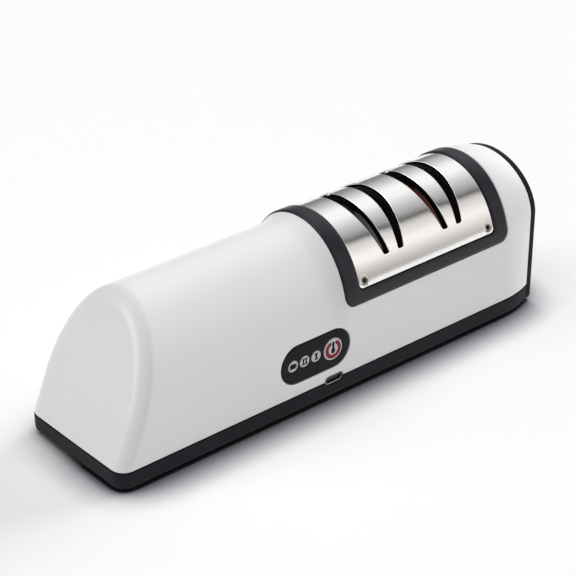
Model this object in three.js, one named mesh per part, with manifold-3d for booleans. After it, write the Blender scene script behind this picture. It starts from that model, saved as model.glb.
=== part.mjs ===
// Electric knife sharpener: a long housing on a base tray, with a slotted steel cover over two
// grinding wheels that turn on one spindle. Millimetres, +Z up. +X points to the flat end, and the
// control panel faces -Y. The origin lies under the middle, on the surface that the feet stand on.
import * as THREE from "three";
import { mergeVertices } from "three/addons/utils/BufferGeometryUtils.js";
import Module from "manifold-3d";

const wasm = await Module();
wasm.setup();

// Fits
const seam = 0.3; // gap between two pieces that touch
const runGap = 1; // gap beside a turning piece
const overrun = 6; // how far a cut runs past what it cuts

// Housing
const wall = 2.2;
const saddleLength = 91.7;
const tailLength = 16.4;
const capThickness = 2.95;
const capRounding = 1.3;
const collarLength = 9;
const endRounding = 6;
const endSlopeShare = 0.42; // lean of the slanted end, per unit of height
const barrelHalfWidth = 30.3;
const barrelShoulder = 24.7;
const barrelCrown = 66.4;
const saddleSetIn = 0.1; // narrower than the barrel on each side
const saddleStep = 1.7; // from the barrel's crown up to the saddle's
const saddleRise = 37.9; // from the saddle's shoulder to its crown
const tailSetIn = 3.4; // narrower than the saddle on each side, at the flat end
const tailFall = 3.4;
const tailRise = 22.3;
const barrelFullnessShare = 0.99; // 1 makes the crown half an ellipse, less makes it leaner
const saddleFullnessShare = 1.04;
const tailFullnessShare = 0.96;

// Base tray and feet
const footProud = 0.9;
const baseHeight = 8;
const baseRounding = 2.6;
const floorThickness = 2.2;
const railThickness = 1.2;
const railHeight = 1.6;
const railMargin = 14;
const footLength = 13;
const footWidth = 10;
const footCorner = 3;
const footRounding = 0.4;
const footRecess = 0.8;
const footEndMargin = 4.9;
const footSideMargin = 2.1;

// Saddle: frame, steel cover and knife slots
const saddleDrop = 30.1; // from the crown down to the frame's lower edge
const saddleCorner = 4.8;
const bezelRise = 0.6; // the frame stands proud of the housing
const bezelDepth = 3;
const flangeThickness = 1.4;
const flangeReach = 3;
const flangeSetback = 6;
const coverMargin = 8;
const coverDrop = 24.4;
const coverCorner = 2;
const coverThickness = 0.9;
const coverGap = 0.5;
const ledgeWidth = 5;
const pairSpacing = 32.9;
const slotDrop = 15.6; // low widths lie at the slot's floor, high widths at the crown
const slotInnerLow = 2.4;
const slotOuterLow = 5.3;
const slotInnerHigh = 4.5;
const slotOuterHigh = 10;
const pocketWall = 2;
const coverScrewInset = 3.05;
const coverScrewRise = 2.75;
const coverScrewHead = 1.9;
const coverScrewShank = 1.1;
const coverScrewLength = 5;

// Spindle and grinding wheels
const wheelDepth = 4.6; // rim below the cover's surface
const wheelSetIn = 6; // rim in from the saddle's side
const spindleDrop = 28.8; // from the saddle's crown down to the spindle
const wheelHalfThickness = 3;
const wheelBevel = 0.6;
const wheelRoom = 0.8;
const cavityHalfWidth = 5;
const spindleRadius = 3;
const hubRadius = 6;
const hubHalfLength = 6.5;
const hubSeat = 8;
const hubFlange = 9.5;
const hubFlangeThickness = 1.3;
const spacerRadius = 4.5;
const bushRadius = 5;
const bushFlange = 6.6;
const bushFlangeThickness = 1;
const bushLength = 7;
const bracketThickness = 5;
const bracketHalfWidth = 15;
const bracketToe = 5;
const bracketHead = 9;
const bracketWindow = 5;
const ribThickness = 1.6;
const ribHeight = 5;

// Drive: coupler, motor and cell
const couplerLength = 10;
const couplerRadius = 5.2;
const couplerWeb = 1.6;
const motorShaftRadius = 1.6;
const motorShaftDepth = 10;
const motorRadius = 13.85;
const motorCanLength = 31.2;
const motorCanRounding = 1.2;
const motorFrontBoss = 2;
const motorBossRadius = 4.5;
const endBellLength = 5.4;
const endBellSetIn = 0.5;
const motorRearBoss = 1.5;
const cradleLength = 18;
const cradleDrop = 3;
const strapThickness = 1;
const strapWidth = 8;
const cellRadius = 9.25;
const cellLength = 65;
const cellGap = 1;
const cellCapRadius = 3.2;
const cellCapHeight = 0.9;
const cellRounding = 0.7;
const cellBedThickness = 1.1;
const cellBedMargin = 6;
const cellBedWall = 1.6;

// Control panel and circuit boards
const panelSetback = 16.55; // from the saddle to the middle of the panel
const panelHeight = 23.2;
const panelLength = 35.7;
const panelWidth = 16.6;
const panelThickness = 1.4;
const panelSink = 0.2;
const panelLedge = 2.5;
const padMargin = 2;
const padThickness = 1.8;
const buttonOffsetShare = 0.249; // this and the four below are shares of the panel's length
const buttonRadiusShare = 0.14;
const indicatorOffsetShare = 0.328;
const indicatorSpacingShare = 0.1667;
const indicatorRadiusShare = 0.0728;
const buttonCrown = 0.25;
const buttonLip = 0.45;
const buttonFlangeThickness = 1;
const buttonStemRadius = 1.5;
const buttonStemLength = 0.4;
const buttonTravel = 0.6;
const panelHoleGap = 0.2;
const indicatorFlange = 1.2;
const indicatorShoulder = 0.6;
const indicatorCount = 3;
const ledLength = 2;
const ledWidth = 1.2;
const ledHeight = 0.8;
const switchSize = 6;
const switchHeight = 2.8;
const plungerRadius = 1.6;
const plungerDepth = 1;
const boardThickness = 1.6;
const boardMargin = 2.5; // past the panel, all round
const postInset = 2.3;
const postRadius = 2;
const usbSetback = 6.85; // from the saddle to the middle of the charging socket
const usbHeight = 9;
const usbWidth = 8.94;
const usbThickness = 3.16;
const usbClearance = 0.5;
const usbDepth = 7.2;
const usbWall = 0.3;
const usbBack = 0.8;
const usbSink = 0.4;
const usbTongueWidth = 6.6;
const usbTongueThickness = 0.7;
const usbTongueSetback = 1;
const chargeBoardLength = 24;
const chargeBoardWidth = 8.6;
const chargeBoardThickness = 1.2;

// Housing screws
const screwLeftMargin = 24;
const screwRightMargin = 34.4;
const screwSideMargin = 8.8;
const screwHead = 2.9;
const screwHeadHeight = 2;
const screwShank = 1.4;
const screwLength = 15;
const screwSink = 1.4;
const screwBoss = 4.4;
const screwTower = 3.8;
const towerRise = 15;
const gussetThickness = 2;

// Facets
const crownSteps = 11;
const endSteps = 4;
const collarSteps = 4;
const tailSteps = 5;
const cornerSteps = 4;
const largeSteps = 32;
const middleSteps = 20;
const smallSteps = 12;
const reachSteps = 40;

// Derived places
const ellipsePower = 2;
const collarPower = 2;
const tailPower = 2;
const quarter = Math.PI / 2;
const saddleHalfWidth = barrelHalfWidth - saddleSetIn;
const saddleCrown = barrelCrown + saddleStep;
const tailCrown = saddleCrown - tailFall;
const saddleBottom = saddleCrown - saddleDrop;
const coverBottom = saddleCrown - coverDrop;
const slotFloor = saddleCrown - slotDrop;
const floorTop = footProud + floorThickness;
const bedHeight = floorTop + seam;
const partingHeight = footProud + baseHeight;
const cellHeight = bedHeight + cellBedThickness + seam + cellRadius;
const slantRoom =
  wall * Math.hypot(1, endSlopeShare) +
  endSlopeShare * (cellHeight + cellRadius - partingHeight) +
  cellGap;
const coverLength = saddleLength - 2 * coverMargin;
const finePlace = coverMargin + (coverLength - pairSpacing) / 2;
const fineToMotor = hubHalfLength + bushLength + couplerLength + 3 * runGap;
const motorLength = motorFrontBoss + motorCanLength + endBellLength + motorRearBoss;
const barrelLength = slantRoom + cellLength + cellGap + motorLength + fineToMotor - finePlace;
const bodyLength = barrelLength + saddleLength + tailLength + seam + capThickness;
const leftEnd = -bodyLength / 2;
const rightEnd = bodyLength / 2;
const saddleLeft = leftEnd + barrelLength;
const saddleRight = saddleLeft + saddleLength;
const tailEnd = saddleRight + tailLength;
const collarStart = saddleLeft - collarLength;
const coverLeft = saddleLeft + coverMargin;
const coverRight = coverLeft + coverLength;
const fineCentre = saddleLeft + finePlace;
const coarseCentre = fineCentre + pairSpacing;
const spindleHeight = saddleCrown - spindleDrop;
const wheelRadius = Math.min(saddleHalfWidth - wheelSetIn, spindleDrop - wheelDepth);
const trayWall = wall + seam + railThickness;

const barrel = {
  halfWidth: barrelHalfWidth,
  shoulder: barrelShoulder,
  crown: barrelCrown,
  power: ellipsePower * barrelFullnessShare,
};
const saddle = {
  halfWidth: saddleHalfWidth,
  shoulder: saddleCrown - saddleRise,
  crown: saddleCrown,
  power: ellipsePower * saddleFullnessShare,
};
const tail = {
  halfWidth: saddleHalfWidth - tailSetIn,
  shoulder: tailCrown - tailRise,
  crown: tailCrown,
  power: ellipsePower * tailFullnessShare,
};
const rayHeight = Math.min(barrel.shoulder, saddle.shoulder, tail.shoulder);

// Solids from three.js geometry, and back

function facesOf(index) {
  const kept = [];
  for (let i = 0; i < index.length; i += 3) {
    const [a, b, c] = [index[i], index[i + 1], index[i + 2]];
    if (a !== b && b !== c && c !== a) kept.push([a, b, c]);
  }
  return kept;
}

function solid(geometry) {
  const bare = geometry.clone();
  bare.deleteAttribute("normal");
  bare.deleteAttribute("uv");
  const merged = mergeVertices(bare);
  const vertProperties = merged.attributes.position.array;
  const faces = facesOf(merged.index.array);
  const make = (list) =>
    new wasm.Manifold(
      new wasm.Mesh({ numProp: 3, vertProperties, triVerts: new Uint32Array(list.flat()) }),
    );
  const made = make(faces);
  return made.volume() > 0 ? made : make(faces.map(([a, b, c]) => [a, c, b]));
}

function geometryOf(made) {
  const { vertProperties, triVerts } = made.getMesh();
  const geometry = new THREE.BufferGeometry();
  geometry.setAttribute("position", new THREE.BufferAttribute(vertProperties, 3));
  geometry.setIndex(new THREE.BufferAttribute(triVerts, 1));
  geometry.computeVertexNormals();
  return geometry;
}

const joined = (list) => list.reduce((a, b) => a.add(b));
const cut = (from, list) => list.reduce((a, b) => a.subtract(b), from);

// Shapes: extrusions along each axis, turned profiles, boxes and lofts

function extruded(shape, length, steps) {
  return new THREE.ExtrudeGeometry(shape, {
    depth: length,
    bevelEnabled: false,
    curveSegments: steps,
  });
}

// shape holds (x, z)
function alongY(shape, low, high, steps = cornerSteps) {
  return solid(extruded(shape, high - low, steps).rotateX(quarter).translate(0, high, 0));
}

// shape holds (y, z)
function alongX(shape, low, high, steps = cornerSteps) {
  const turn = new THREE.Matrix4().makeBasis(
    new THREE.Vector3(0, 1, 0),
    new THREE.Vector3(0, 0, 1),
    new THREE.Vector3(1, 0, 0),
  );
  return solid(extruded(shape, high - low, steps).applyMatrix4(turn).translate(low, 0, 0));
}

// shape holds (x, y)
function alongZ(shape, low, high, steps = cornerSteps) {
  return solid(extruded(shape, high - low, steps).translate(0, 0, low));
}

// profile holds [place along the axis, radius], and the axis is Y
function turned(profile, steps) {
  const points = profile.map(([along, radius]) => new THREE.Vector2(radius, along));
  return new THREE.LatheGeometry(points, steps);
}

const turnedX = (profile, steps = middleSteps) => solid(turned(profile, steps).rotateZ(-quarter));
const turnedY = (profile, steps = middleSteps) => solid(turned(profile, steps));
const turnedZ = (profile, steps = middleSteps) => solid(turned(profile, steps).rotateX(quarter));

const rodProfile = (low, high, radius) => [
  [low, 0],
  [low, radius],
  [high, radius],
  [high, 0],
];

const tubeProfile = (low, high, inner, outer) => [
  [low, inner],
  [low, outer],
  [high, outer],
  [high, inner],
  [low, inner],
];

function block([x0, x1], [y0, y1], [z0, z1]) {
  const box = new THREE.BoxGeometry(x1 - x0, y1 - y0, z1 - z0);
  return solid(box.translate((x0 + x1) / 2, (y0 + y1) / 2, (z0 + z1) / 2));
}

function rectangle(left, right, low, high, radius) {
  const shape = new THREE.Shape();
  shape.absarc(right - radius, high - radius, radius, 0, quarter);
  shape.absarc(left + radius, high - radius, radius, quarter, 2 * quarter);
  shape.absarc(left + radius, low + radius, radius, 2 * quarter, 3 * quarter);
  shape.absarc(right - radius, low + radius, radius, 3 * quarter, 4 * quarter);
  return shape;
}

function stadium(x, z, length, width) {
  const radius = width / 2;
  const reach = length / 2 - radius;
  const shape = new THREE.Shape();
  shape.absarc(x + reach, z, radius, -quarter, quarter);
  shape.absarc(x - reach, z, radius, quarter, 3 * quarter);
  return shape;
}

// A closed solid through rings of equal counts, each a convex loop of [x, y, z].
function loft(rings) {
  const count = rings[0].length;
  const ends = [rings[0], rings[rings.length - 1]];
  const centres = ends.map((ring) => {
    const sum = ring.reduce((a, p) => a.add(new THREE.Vector3(...p)), new THREE.Vector3());
    return sum.divideScalar(count).toArray();
  });
  const positions = [...rings.flat(), ...centres].flat();
  const index = [];
  for (let r = 0; r + 1 < rings.length; r++)
    for (let i = 0; i < count; i++) {
      const [a, b] = [r * count + i, r * count + ((i + 1) % count)];
      index.push(a, b, b + count, a, b + count, a + count);
    }
  const [first, last] = [rings.length * count, rings.length * count + 1];
  const lastRing = (rings.length - 1) * count;
  for (let i = 0; i < count; i++) {
    const next = (i + 1) % count;
    index.push(first, next, i, last, lastRing + i, lastRing + next);
  }
  const geometry = new THREE.BufferGeometry();
  geometry.setAttribute("position", new THREE.Float32BufferAttribute(positions, 3));
  geometry.setIndex(index);
  return solid(geometry);
}

// Cross-sections of the housing

// Distance from the ray centre, on the middle line, to the section's outline at an angle.
function reachOf(section, inset, angle) {
  const halfWidth = section.halfWidth - inset;
  const rise = section.crown - inset - section.shoulder;
  const outside = (distance) => {
    const y = Math.abs(distance * Math.cos(angle));
    const z = rayHeight + distance * Math.sin(angle) - section.shoulder;
    if (z < 0) return y > halfWidth;
    return (y / halfWidth) ** section.power + (z / rise) ** section.power > 1;
  };
  let [low, high] = [0, section.halfWidth + section.crown];
  for (let i = 0; i < reachSteps; i++) {
    const middle = (low + high) / 2;
    if (outside(middle)) high = middle;
    else low = middle;
  }
  return low;
}

// The outline from the lower edge at -Y over the crown to the lower edge at +Y.
function arch(section, inset, bottom) {
  const half = [];
  for (let i = 0; i <= crownSteps; i++) {
    const angle = (quarter * i) / crownSteps;
    const reach = reachOf(section, inset, angle);
    half.push([reach * Math.cos(angle), rayHeight + reach * Math.sin(angle)]);
  }
  const right = [[section.halfWidth - inset, bottom], ...half.slice(0, crownSteps)];
  const left = right.map(([y, z]) => [-y, z]);
  return [...left, [0, half[crownSteps][1]], ...right.reverse()];
}

// Which two sections meet at x, and the share of the second.
function mixAt(x) {
  const collarShare = (x - collarStart) / collarLength;
  const tailShare = Math.min((x - saddleRight) / tailLength, 1);
  if (x <= collarStart) return [barrel, saddle, 0];
  if (x <= saddleLeft) return [barrel, saddle, collarShare ** collarPower];
  if (x <= saddleRight) return [saddle, tail, 0];
  return [saddle, tail, tailShare ** tailPower];
}

const lerp = (a, b, share) => a + (b - a) * share;

function halfWidthAt(x) {
  const [from, to, share] = mixAt(x);
  return lerp(from.halfWidth, to.halfWidth, share);
}

// The slanted end leans with height, and the lean fades out towards the collar.
function leaned(x, z) {
  const share = Math.max(0, (collarStart - x) / (collarStart - leftEnd));
  return x + endSlopeShare * Math.max(0, z - partingHeight) * share;
}

function ringAt(x, inset, bottom) {
  const [from, to, share] = mixAt(x);
  const [a, b] = [arch(from, inset, bottom), arch(to, inset, bottom)];
  return a.map(([y, z], i) => [lerp(y, b[i][0], share), lerp(z, b[i][1], share)]);
}

const steps = (count) => Array.from({ length: count + 1 }, (_, i) => i / count);

// The whole housing as a solid, drawn in by inset all round.
function housing(inset, bottom, right) {
  const start = leftEnd + inset * Math.hypot(1, endSlopeShare);
  const round = Math.max(endRounding - inset, seam);
  const stations = [
    ...steps(endSteps).map((s) => ({
      x: start + round * (1 - Math.cos(quarter * s)),
      inset: inset + round * (1 - Math.sin(quarter * s)),
    })),
    ...steps(collarSteps).map((s) => ({ x: collarStart + collarLength * s, inset })),
    ...steps(tailSteps).map((s) => ({ x: saddleRight + tailLength * s, inset })),
  ];
  if (right > tailEnd) stations.push({ x: right, inset });
  return loft(
    stations.map((station) =>
      ringAt(station.x, station.inset, bottom).map(([y, z]) => [leaned(station.x, z), y, z]),
    ),
  );
}

// A straight length of the saddle's section, from the ground up.
function saddleBlock(inset, left, right) {
  const ring = arch(saddle, inset, 0);
  return loft([left, right].map((x) => ring.map(([y, z]) => [x, y, z])));
}

// A window with round lower corners that runs up past the crown.
function archWindow(left, right, bottom, corner) {
  const top = saddleCrown + overrun;
  const shape = new THREE.Shape();
  shape.moveTo(right, top);
  shape.lineTo(left, top);
  shape.absarc(left + corner, bottom + corner, corner, 2 * quarter, 3 * quarter);
  shape.absarc(right - corner, bottom + corner, corner, 3 * quarter, 4 * quarter);
  return shape;
}

const acrossReach = saddleHalfWidth + overrun;
const across = (shape, count) => alongY(shape, -acrossReach, acrossReach, count);

const saddleWindow = (grow) =>
  archWindow(
    saddleLeft - grow,
    saddleRight + grow,
    saddleBottom - grow,
    Math.max(saddleCorner + grow, seam),
  );

const coverWindow = (grow) =>
  archWindow(
    coverLeft - grow,
    coverRight + grow,
    coverBottom - grow,
    Math.max(coverCorner + grow, seam),
  );

// Point of the saddle's surface at a height, and the turn about X that points +Z out of it.
function surfaceAt(side, z) {
  const rise = saddle.crown - saddle.shoulder;
  const up = (z - saddle.shoulder) / rise;
  const out = (1 - up ** saddle.power) ** (1 / saddle.power);
  const slopeY = out ** (saddle.power - 1) / saddle.halfWidth;
  const slopeZ = up ** (saddle.power - 1) / rise;
  return { y: side * saddle.halfWidth * out, z, turn: -side * Math.atan2(slopeY, slopeZ) };
}

// Housing screws stand in two rows, at both ends.
const screwPlaces = [leftEnd + screwLeftMargin, rightEnd - screwRightMargin].flatMap((x) =>
  [-1, 1].map((side) => [x, side * (barrelHalfWidth - screwSideMargin)]),
);

const rightFoot = tailEnd - footEndMargin - footLength / 2;
const leftFoot = leftEnd + footEndMargin + footLength / 2;
const footAcross = (x) => halfWidthAt(x + footLength / 2) - footSideMargin - footWidth / 2;
const footPlaces = [leftFoot, rightFoot].flatMap((x) =>
  [-1, 1].map((side) => [x, side * footAcross(x)]),
);

const coverScrewPlaces = [coverLeft + coverScrewInset, coverRight - coverScrewInset].flatMap((x) =>
  [-1, 1].map((side) => [x, surfaceAt(side, coverBottom + coverScrewRise)]),
);

// Levels across the control panel, from its face inwards
const panelCentre = saddleLeft - panelSetback;
const boardHalfLength = panelLength / 2 + boardMargin;
const boardHalfHeight = panelWidth / 2 + boardMargin;
const buttonRadius = panelLength * buttonRadiusShare;
const indicatorRadius = panelLength * indicatorRadiusShare;
const panelFace = -barrelHalfWidth + panelSink;
const panelBack = panelFace + panelThickness;
const pocketFloor = panelBack + seam;
const padBack = pocketFloor + padThickness;
const flangeBack = panelBack + seam + buttonFlangeThickness;
const stemBack = flangeBack + buttonStemLength;
const switchFront = flangeBack + buttonTravel + runGap;
const boardFront = switchFront + switchHeight + seam;
const boardBack = boardFront + boardThickness;
const buttonPlace = [panelCentre + panelLength * buttonOffsetShare, panelHeight];
const indicatorPlaces = Array.from({ length: indicatorCount }, (_, i) => [
  panelCentre - panelLength * (indicatorOffsetShare - i * indicatorSpacingShare),
  panelHeight,
]);
const usbCentre = saddleLeft - usbSetback;
const usbFront = -barrelHalfWidth + usbSink;
const usbOpening = () =>
  stadium(usbCentre, usbHeight, usbWidth + 2 * usbClearance, usbThickness + 2 * usbClearance);

const boardPosts = [-1, 1].flatMap((sideX) =>
  [-1, 1].map((sideZ) => [
    panelCentre + sideX * (boardHalfLength - postInset),
    panelHeight + sideZ * (boardHalfHeight - postInset),
  ]),
);

function panelPad() {
  const pad = stadium(
    panelCentre,
    panelHeight,
    panelLength + 2 * padMargin,
    panelWidth + 2 * padMargin,
  );
  const posts = boardPosts.map(([x, z]) =>
    turnedY(rodProfile(pocketFloor, boardFront - seam, postRadius), smallSteps).translate(x, 0, z),
  );
  return joined([alongY(pad, pocketFloor, padBack, smallSteps), ...posts]);
}

function panelCuts() {
  const outline = (grow) =>
    stadium(panelCentre, panelHeight, panelLength + 2 * grow, panelWidth + 2 * grow);
  return [
    alongY(outline(seam), -acrossReach, pocketFloor, smallSteps),
    alongY(outline(-panelLedge), -acrossReach, padBack + overrun, smallSteps),
  ];
}

// Towers that the housing screws bite into, each held to the side wall by a gusset.
function screwTowers() {
  const low = partingHeight + seam / 2;
  return screwPlaces.map(([x, y]) => {
    const tower = turnedZ(rodProfile(low, low + towerRise, screwTower), smallSteps);
    const out = Math.sign(y) * (halfWidthAt(x) - wall / 2);
    const gusset = block(
      [x - gussetThickness / 2, x + gussetThickness / 2],
      [Math.min(y, out), Math.max(y, out)],
      [partingHeight + railHeight + runGap, low + towerRise],
    );
    return tower.translate(x, y, 0).add(gusset);
  });
}

const screwPilots = () =>
  screwPlaces.map(([x, y]) =>
    turnedZ(
      rodProfile(-overrun, footProud + screwSink + screwLength + seam, screwShank + seam),
      smallSteps,
    ).translate(x, y, 0),
  );

function upperShell() {
  const bottom = partingHeight + seam / 2;
  const inside = housing(wall, partingHeight - overrun, tailEnd + overrun);
  const shell = housing(0, bottom, tailEnd).subtract(inside);
  const fittings = joined([panelPad(), ...screwTowers()]);
  return cut(shell.add(fittings), [
    across(saddleWindow(0)),
    ...panelCuts(),
    ...screwPilots(),
    alongY(usbOpening(), -acrossReach, 0, smallSteps / 2),
  ]);
}

// Plan of the base tray: +Y side from the right end to the left end.
function planHalf(inset, right) {
  const radius = Math.max(endRounding - inset, seam);
  const side = [
    ...steps(tailSteps).map((s) => lerp(right, saddleRight, s)),
    ...steps(collarSteps).map((s) => saddleLeft - collarLength * s),
  ].map((x) => [x, halfWidthAt(x) - inset]);
  const corner = steps(endSteps).map((s) => {
    const angle = quarter * (1 + s);
    return [
      leftEnd + inset + radius * (1 + Math.cos(angle)),
      barrelHalfWidth - inset - radius * (1 - Math.sin(angle)),
    ];
  });
  return [...side, ...corner];
}

function planRing(inset, right, z) {
  const half = planHalf(inset, right);
  const mirrored = half.map(([x, y]) => [x, -y]).reverse();
  return [...half, ...mirrored].map(([x, y]) => [x, y, z]);
}

function footRecesses() {
  const high = footProud + footRecess + seam;
  return footPlaces.map(([x, y]) => {
    const [halfLength, halfWidth] = [footLength / 2 + seam, footWidth / 2 + seam];
    const shape = rectangle(-halfLength, halfLength, -halfWidth, halfWidth, footCorner + seam);
    return alongZ(shape, -overrun, high).translate(x, y, 0);
  });
}

// Rails on the tray that reach up inside the housing's side walls.
function trayRails() {
  const spans = [
    [leftEnd + railMargin, panelCentre - boardHalfLength, barrelHalfWidth],
    [saddleLeft + railMargin / 2, saddleRight, saddleHalfWidth],
  ];
  return spans.flatMap(([left, right, halfWidth]) =>
    [-1, 1].map((side) => {
      const outer = side * (halfWidth - wall - seam);
      const inner = outer - side * railThickness;
      return block(
        [left, right],
        [Math.min(inner, outer), Math.max(inner, outer)],
        [floorTop, partingHeight + railHeight],
      );
    }),
  );
}

const leftBracket = fineCentre - hubHalfLength - runGap - bushLength / 2;
const rightBracket = coarseCentre + hubHalfLength + runGap + bushLength / 2;
const motorFront = fineCentre - fineToMotor;
const motorRear = motorFront - motorLength;
const canRight = motorFront - motorFrontBoss;
const canLeft = canRight - motorCanLength;
const cradleCentre = (canLeft + canRight) / 2;
const seatRadius = motorRadius + seam;
const strapReach = seatRadius + strapThickness;
const cradleHalfWidth = (strapReach - boardBack) / 2;
const cellRight = motorRear - cellGap;
const cellLeft = cellRight - cellLength;
const bedLeft = cellLeft + cellBedMargin;
const bedRight = cellRight - cellBedMargin;

// Pairs of ribs on the tray's floor that a standing piece slots between.
function locatorRibs() {
  const high = floorTop + ribHeight / 2;
  const standing = [
    [leftBracket - bracketThickness / 2, leftBracket + bracketThickness / 2, bracketHalfWidth, high],
    [rightBracket - bracketThickness / 2, rightBracket + bracketThickness / 2, bracketHalfWidth, high],
    [cradleCentre - cradleLength / 2, cradleCentre + cradleLength / 2, cradleHalfWidth, high],
    [bedLeft, bedRight, cellRadius, bedHeight + cellBedThickness],
  ];
  return standing.flatMap(([left, right, halfWidth, top]) =>
    [left - seam - ribThickness, right + seam].map((x) =>
      block(
        [x, x + ribThickness],
        [-halfWidth + ribThickness, halfWidth - ribThickness],
        [footProud + floorThickness / 2, top],
      ),
    ),
  );
}

const chargeBoardTop = usbHeight - usbThickness / 2 - seam;
const chargeBoardBottom = chargeBoardTop - chargeBoardThickness;
const chargeBoardFront = -barrelHalfWidth + trayWall + seam;

const chargeBoardPosts = () =>
  [-1, 1].map((side) =>
    turnedZ(
      rodProfile(footProud + floorThickness / 2, chargeBoardBottom - seam, postRadius),
      smallSteps,
    ).translate(
      usbCentre + side * (chargeBoardLength / 2 - postInset),
      chargeBoardFront + chargeBoardWidth / 2,
      0,
    ),
  );

// Clear room round the charge board.
const chargeBoardRoom = () =>
  block(
    [
      usbCentre - chargeBoardLength / 2 - runGap,
      usbCentre + chargeBoardLength / 2 + runGap,
    ],
    [-acrossReach, chargeBoardFront + chargeBoardWidth + runGap],
    [0, chargeBoardTop + runGap],
  );

function baseTray() {
  const top = partingHeight - seam / 2;
  const rounded = steps(cornerSteps / 2).map((s) =>
    planRing(
      baseRounding * (1 - Math.sin(quarter * s)),
      tailEnd,
      footProud + baseRounding * (1 - Math.cos(quarter * s)),
    ),
  );
  const outside = loft([...rounded, planRing(0, tailEnd, top)]);
  const inside = loft(
    [floorTop, top + overrun].map((z) => planRing(trayWall, tailEnd - trayWall, z)),
  );
  const bosses = screwPlaces.map(([x, y]) =>
    turnedZ(rodProfile(footProud, top, screwBoss), smallSteps).translate(x, y, 0),
  );
  const counterbores = screwPlaces.map(([x, y]) =>
    turnedZ(
      rodProfile(-overrun, footProud + screwSink + screwHeadHeight + seam, screwHead + seam),
      smallSteps,
    ).translate(x, y, 0),
  );
  const made = joined([
    outside.subtract(inside),
    ...trayRails(),
    ...locatorRibs(),
    ...chargeBoardPosts(),
    ...bosses,
  ]);
  return cut(made, [
    ...screwPilots(),
    ...counterbores,
    ...footRecesses(),
    alongY(usbOpening(), -acrossReach, chargeBoardFront, smallSteps / 2),
  ]);
}

function endCap() {
  const inner = tailEnd + seam;
  const plate = loft([
    arch(tail, 0, footProud).map(([y, z]) => [inner, y, z]),
    ...steps(cornerSteps / 2).map((s) => {
      const inset = capRounding * (1 - Math.cos(quarter * s));
      const x = rightEnd - capRounding * (1 - Math.sin(quarter * s));
      return arch(tail, inset, footProud + inset).map(([y, z]) => [x, y, z]);
    }),
  ]);
  const tongue = (inset) =>
    loft(
      [inner - railHeight * 2, inner + capThickness / 2].map((x) =>
        arch(tail, inset, partingHeight + railHeight + runGap).map(([y, z]) => [x, y, z]),
      ),
    );
  const hollow = loft(
    [inner - overrun, inner].map((x) =>
      arch(tail, wall + seam + railThickness, partingHeight).map(([y, z]) => [x, y, z]),
    ),
  );
  return plate.add(tongue(wall + seam).subtract(hollow));
}

// Saddle frame: a band over the arch with a sunk ledge for the cover and a flange under the wall.
function saddleBezel() {
  const [left, right] = [saddleLeft - overrun, saddleRight + overrun];
  const sunk = coverThickness + seam;
  const band = saddleBlock(-bezelRise, left, right)
    .intersect(across(saddleWindow(-seam)))
    .subtract(saddleBlock(bezelDepth, left, right));
  const flangeLow = saddleBottom - flangeReach;
  const flange = saddleBlock(
    wall + seam,
    saddleLeft + flangeSetback,
    saddleRight - flangeSetback,
  )
    .subtract(saddleBlock(wall + seam + flangeThickness, left, right))
    .intersect(
      block(
        [left, right],
        [-acrossReach, acrossReach],
        [flangeLow, saddleBottom + flangeThickness],
      ),
    );
  const recess = saddleBlock(-overrun, left, right)
    .subtract(saddleBlock(sunk, left, right))
    .intersect(across(coverWindow(coverGap)));
  const holes = coverScrewPlaces.map(([x, place]) =>
    turnedZ(rodProfile(-coverScrewLength - overrun, overrun, coverScrewShank + seam), smallSteps)
      .rotate([(place.turn * 180) / Math.PI, 0, 0])
      .translate(x, place.y, place.z),
  );
  return cut(band.add(flange), [recess, across(coverWindow(-ledgeWidth)), ...holes]);
}

// One knife slot: straight across, leaning away from its wheel. side is -1 or 1.
function slotCut(centre, side) {
  const slope = (low, high) => (high - low) / slotDrop;
  const top = saddleCrown + overrun;
  const at = (low, high, z) => centre + side * (low + slope(low, high) * (z - slotFloor));
  const shape = new THREE.Shape();
  shape.moveTo(at(slotInnerLow, slotInnerHigh, slotFloor), slotFloor);
  shape.lineTo(at(slotOuterLow, slotOuterHigh, slotFloor), slotFloor);
  shape.lineTo(at(slotOuterLow, slotOuterHigh, top), top);
  shape.lineTo(at(slotInnerLow, slotInnerHigh, top), top);
  return across(shape);
}

const slotCuts = () =>
  [fineCentre, coarseCentre].flatMap((centre) => [-1, 1].map((side) => slotCut(centre, side)));

function coverPlate() {
  const skin = saddleBlock(0, coverLeft, coverRight).subtract(
    saddleBlock(coverThickness, coverLeft - overrun, coverRight + overrun),
  );
  const holes = coverScrewPlaces.map(([x, place]) =>
    turnedZ(rodProfile(-overrun / 2, overrun / 2, coverScrewHead + seam), smallSteps)
      .rotate([(place.turn * 180) / Math.PI, 0, 0])
      .translate(x, place.y, place.z),
  );
  return cut(skin.intersect(across(coverWindow(0))), [...slotCuts(), ...holes]);
}

// Guide block: fills the frame under the cover, with the knife channels and room for both wheels.
function guideBlock() {
  const depth = coverThickness + seam;
  const [left, right] = [coverLeft, coverRight];
  const body = saddleBlock(depth, left, right).intersect(
    across(coverWindow(-ledgeWidth - seam)),
  );
  const cavities = [fineCentre, coarseCentre].map((centre) =>
    turnedX(
      rodProfile(-cavityHalfWidth, cavityHalfWidth, wheelRadius + wheelRoom),
      largeSteps,
    ).translate(centre, 0, spindleHeight),
  );
  const pocket = saddleBlock(
    depth + pocketWall,
    fineCentre + slotOuterHigh + pocketWall,
    coarseCentre - slotOuterHigh - pocketWall,
  );
  return cut(body, [...slotCuts(), ...cavities, pocket]);
}

const coverScrew = () =>
  turnedZ(
    [
      [-coverScrewLength, 0],
      [-coverScrewLength, coverScrewShank],
      [-coverThickness, coverScrewShank],
      [-coverThickness, coverScrewHead],
      [0, coverScrewHead],
      [0, 0],
    ],
    smallSteps,
  );

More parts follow.
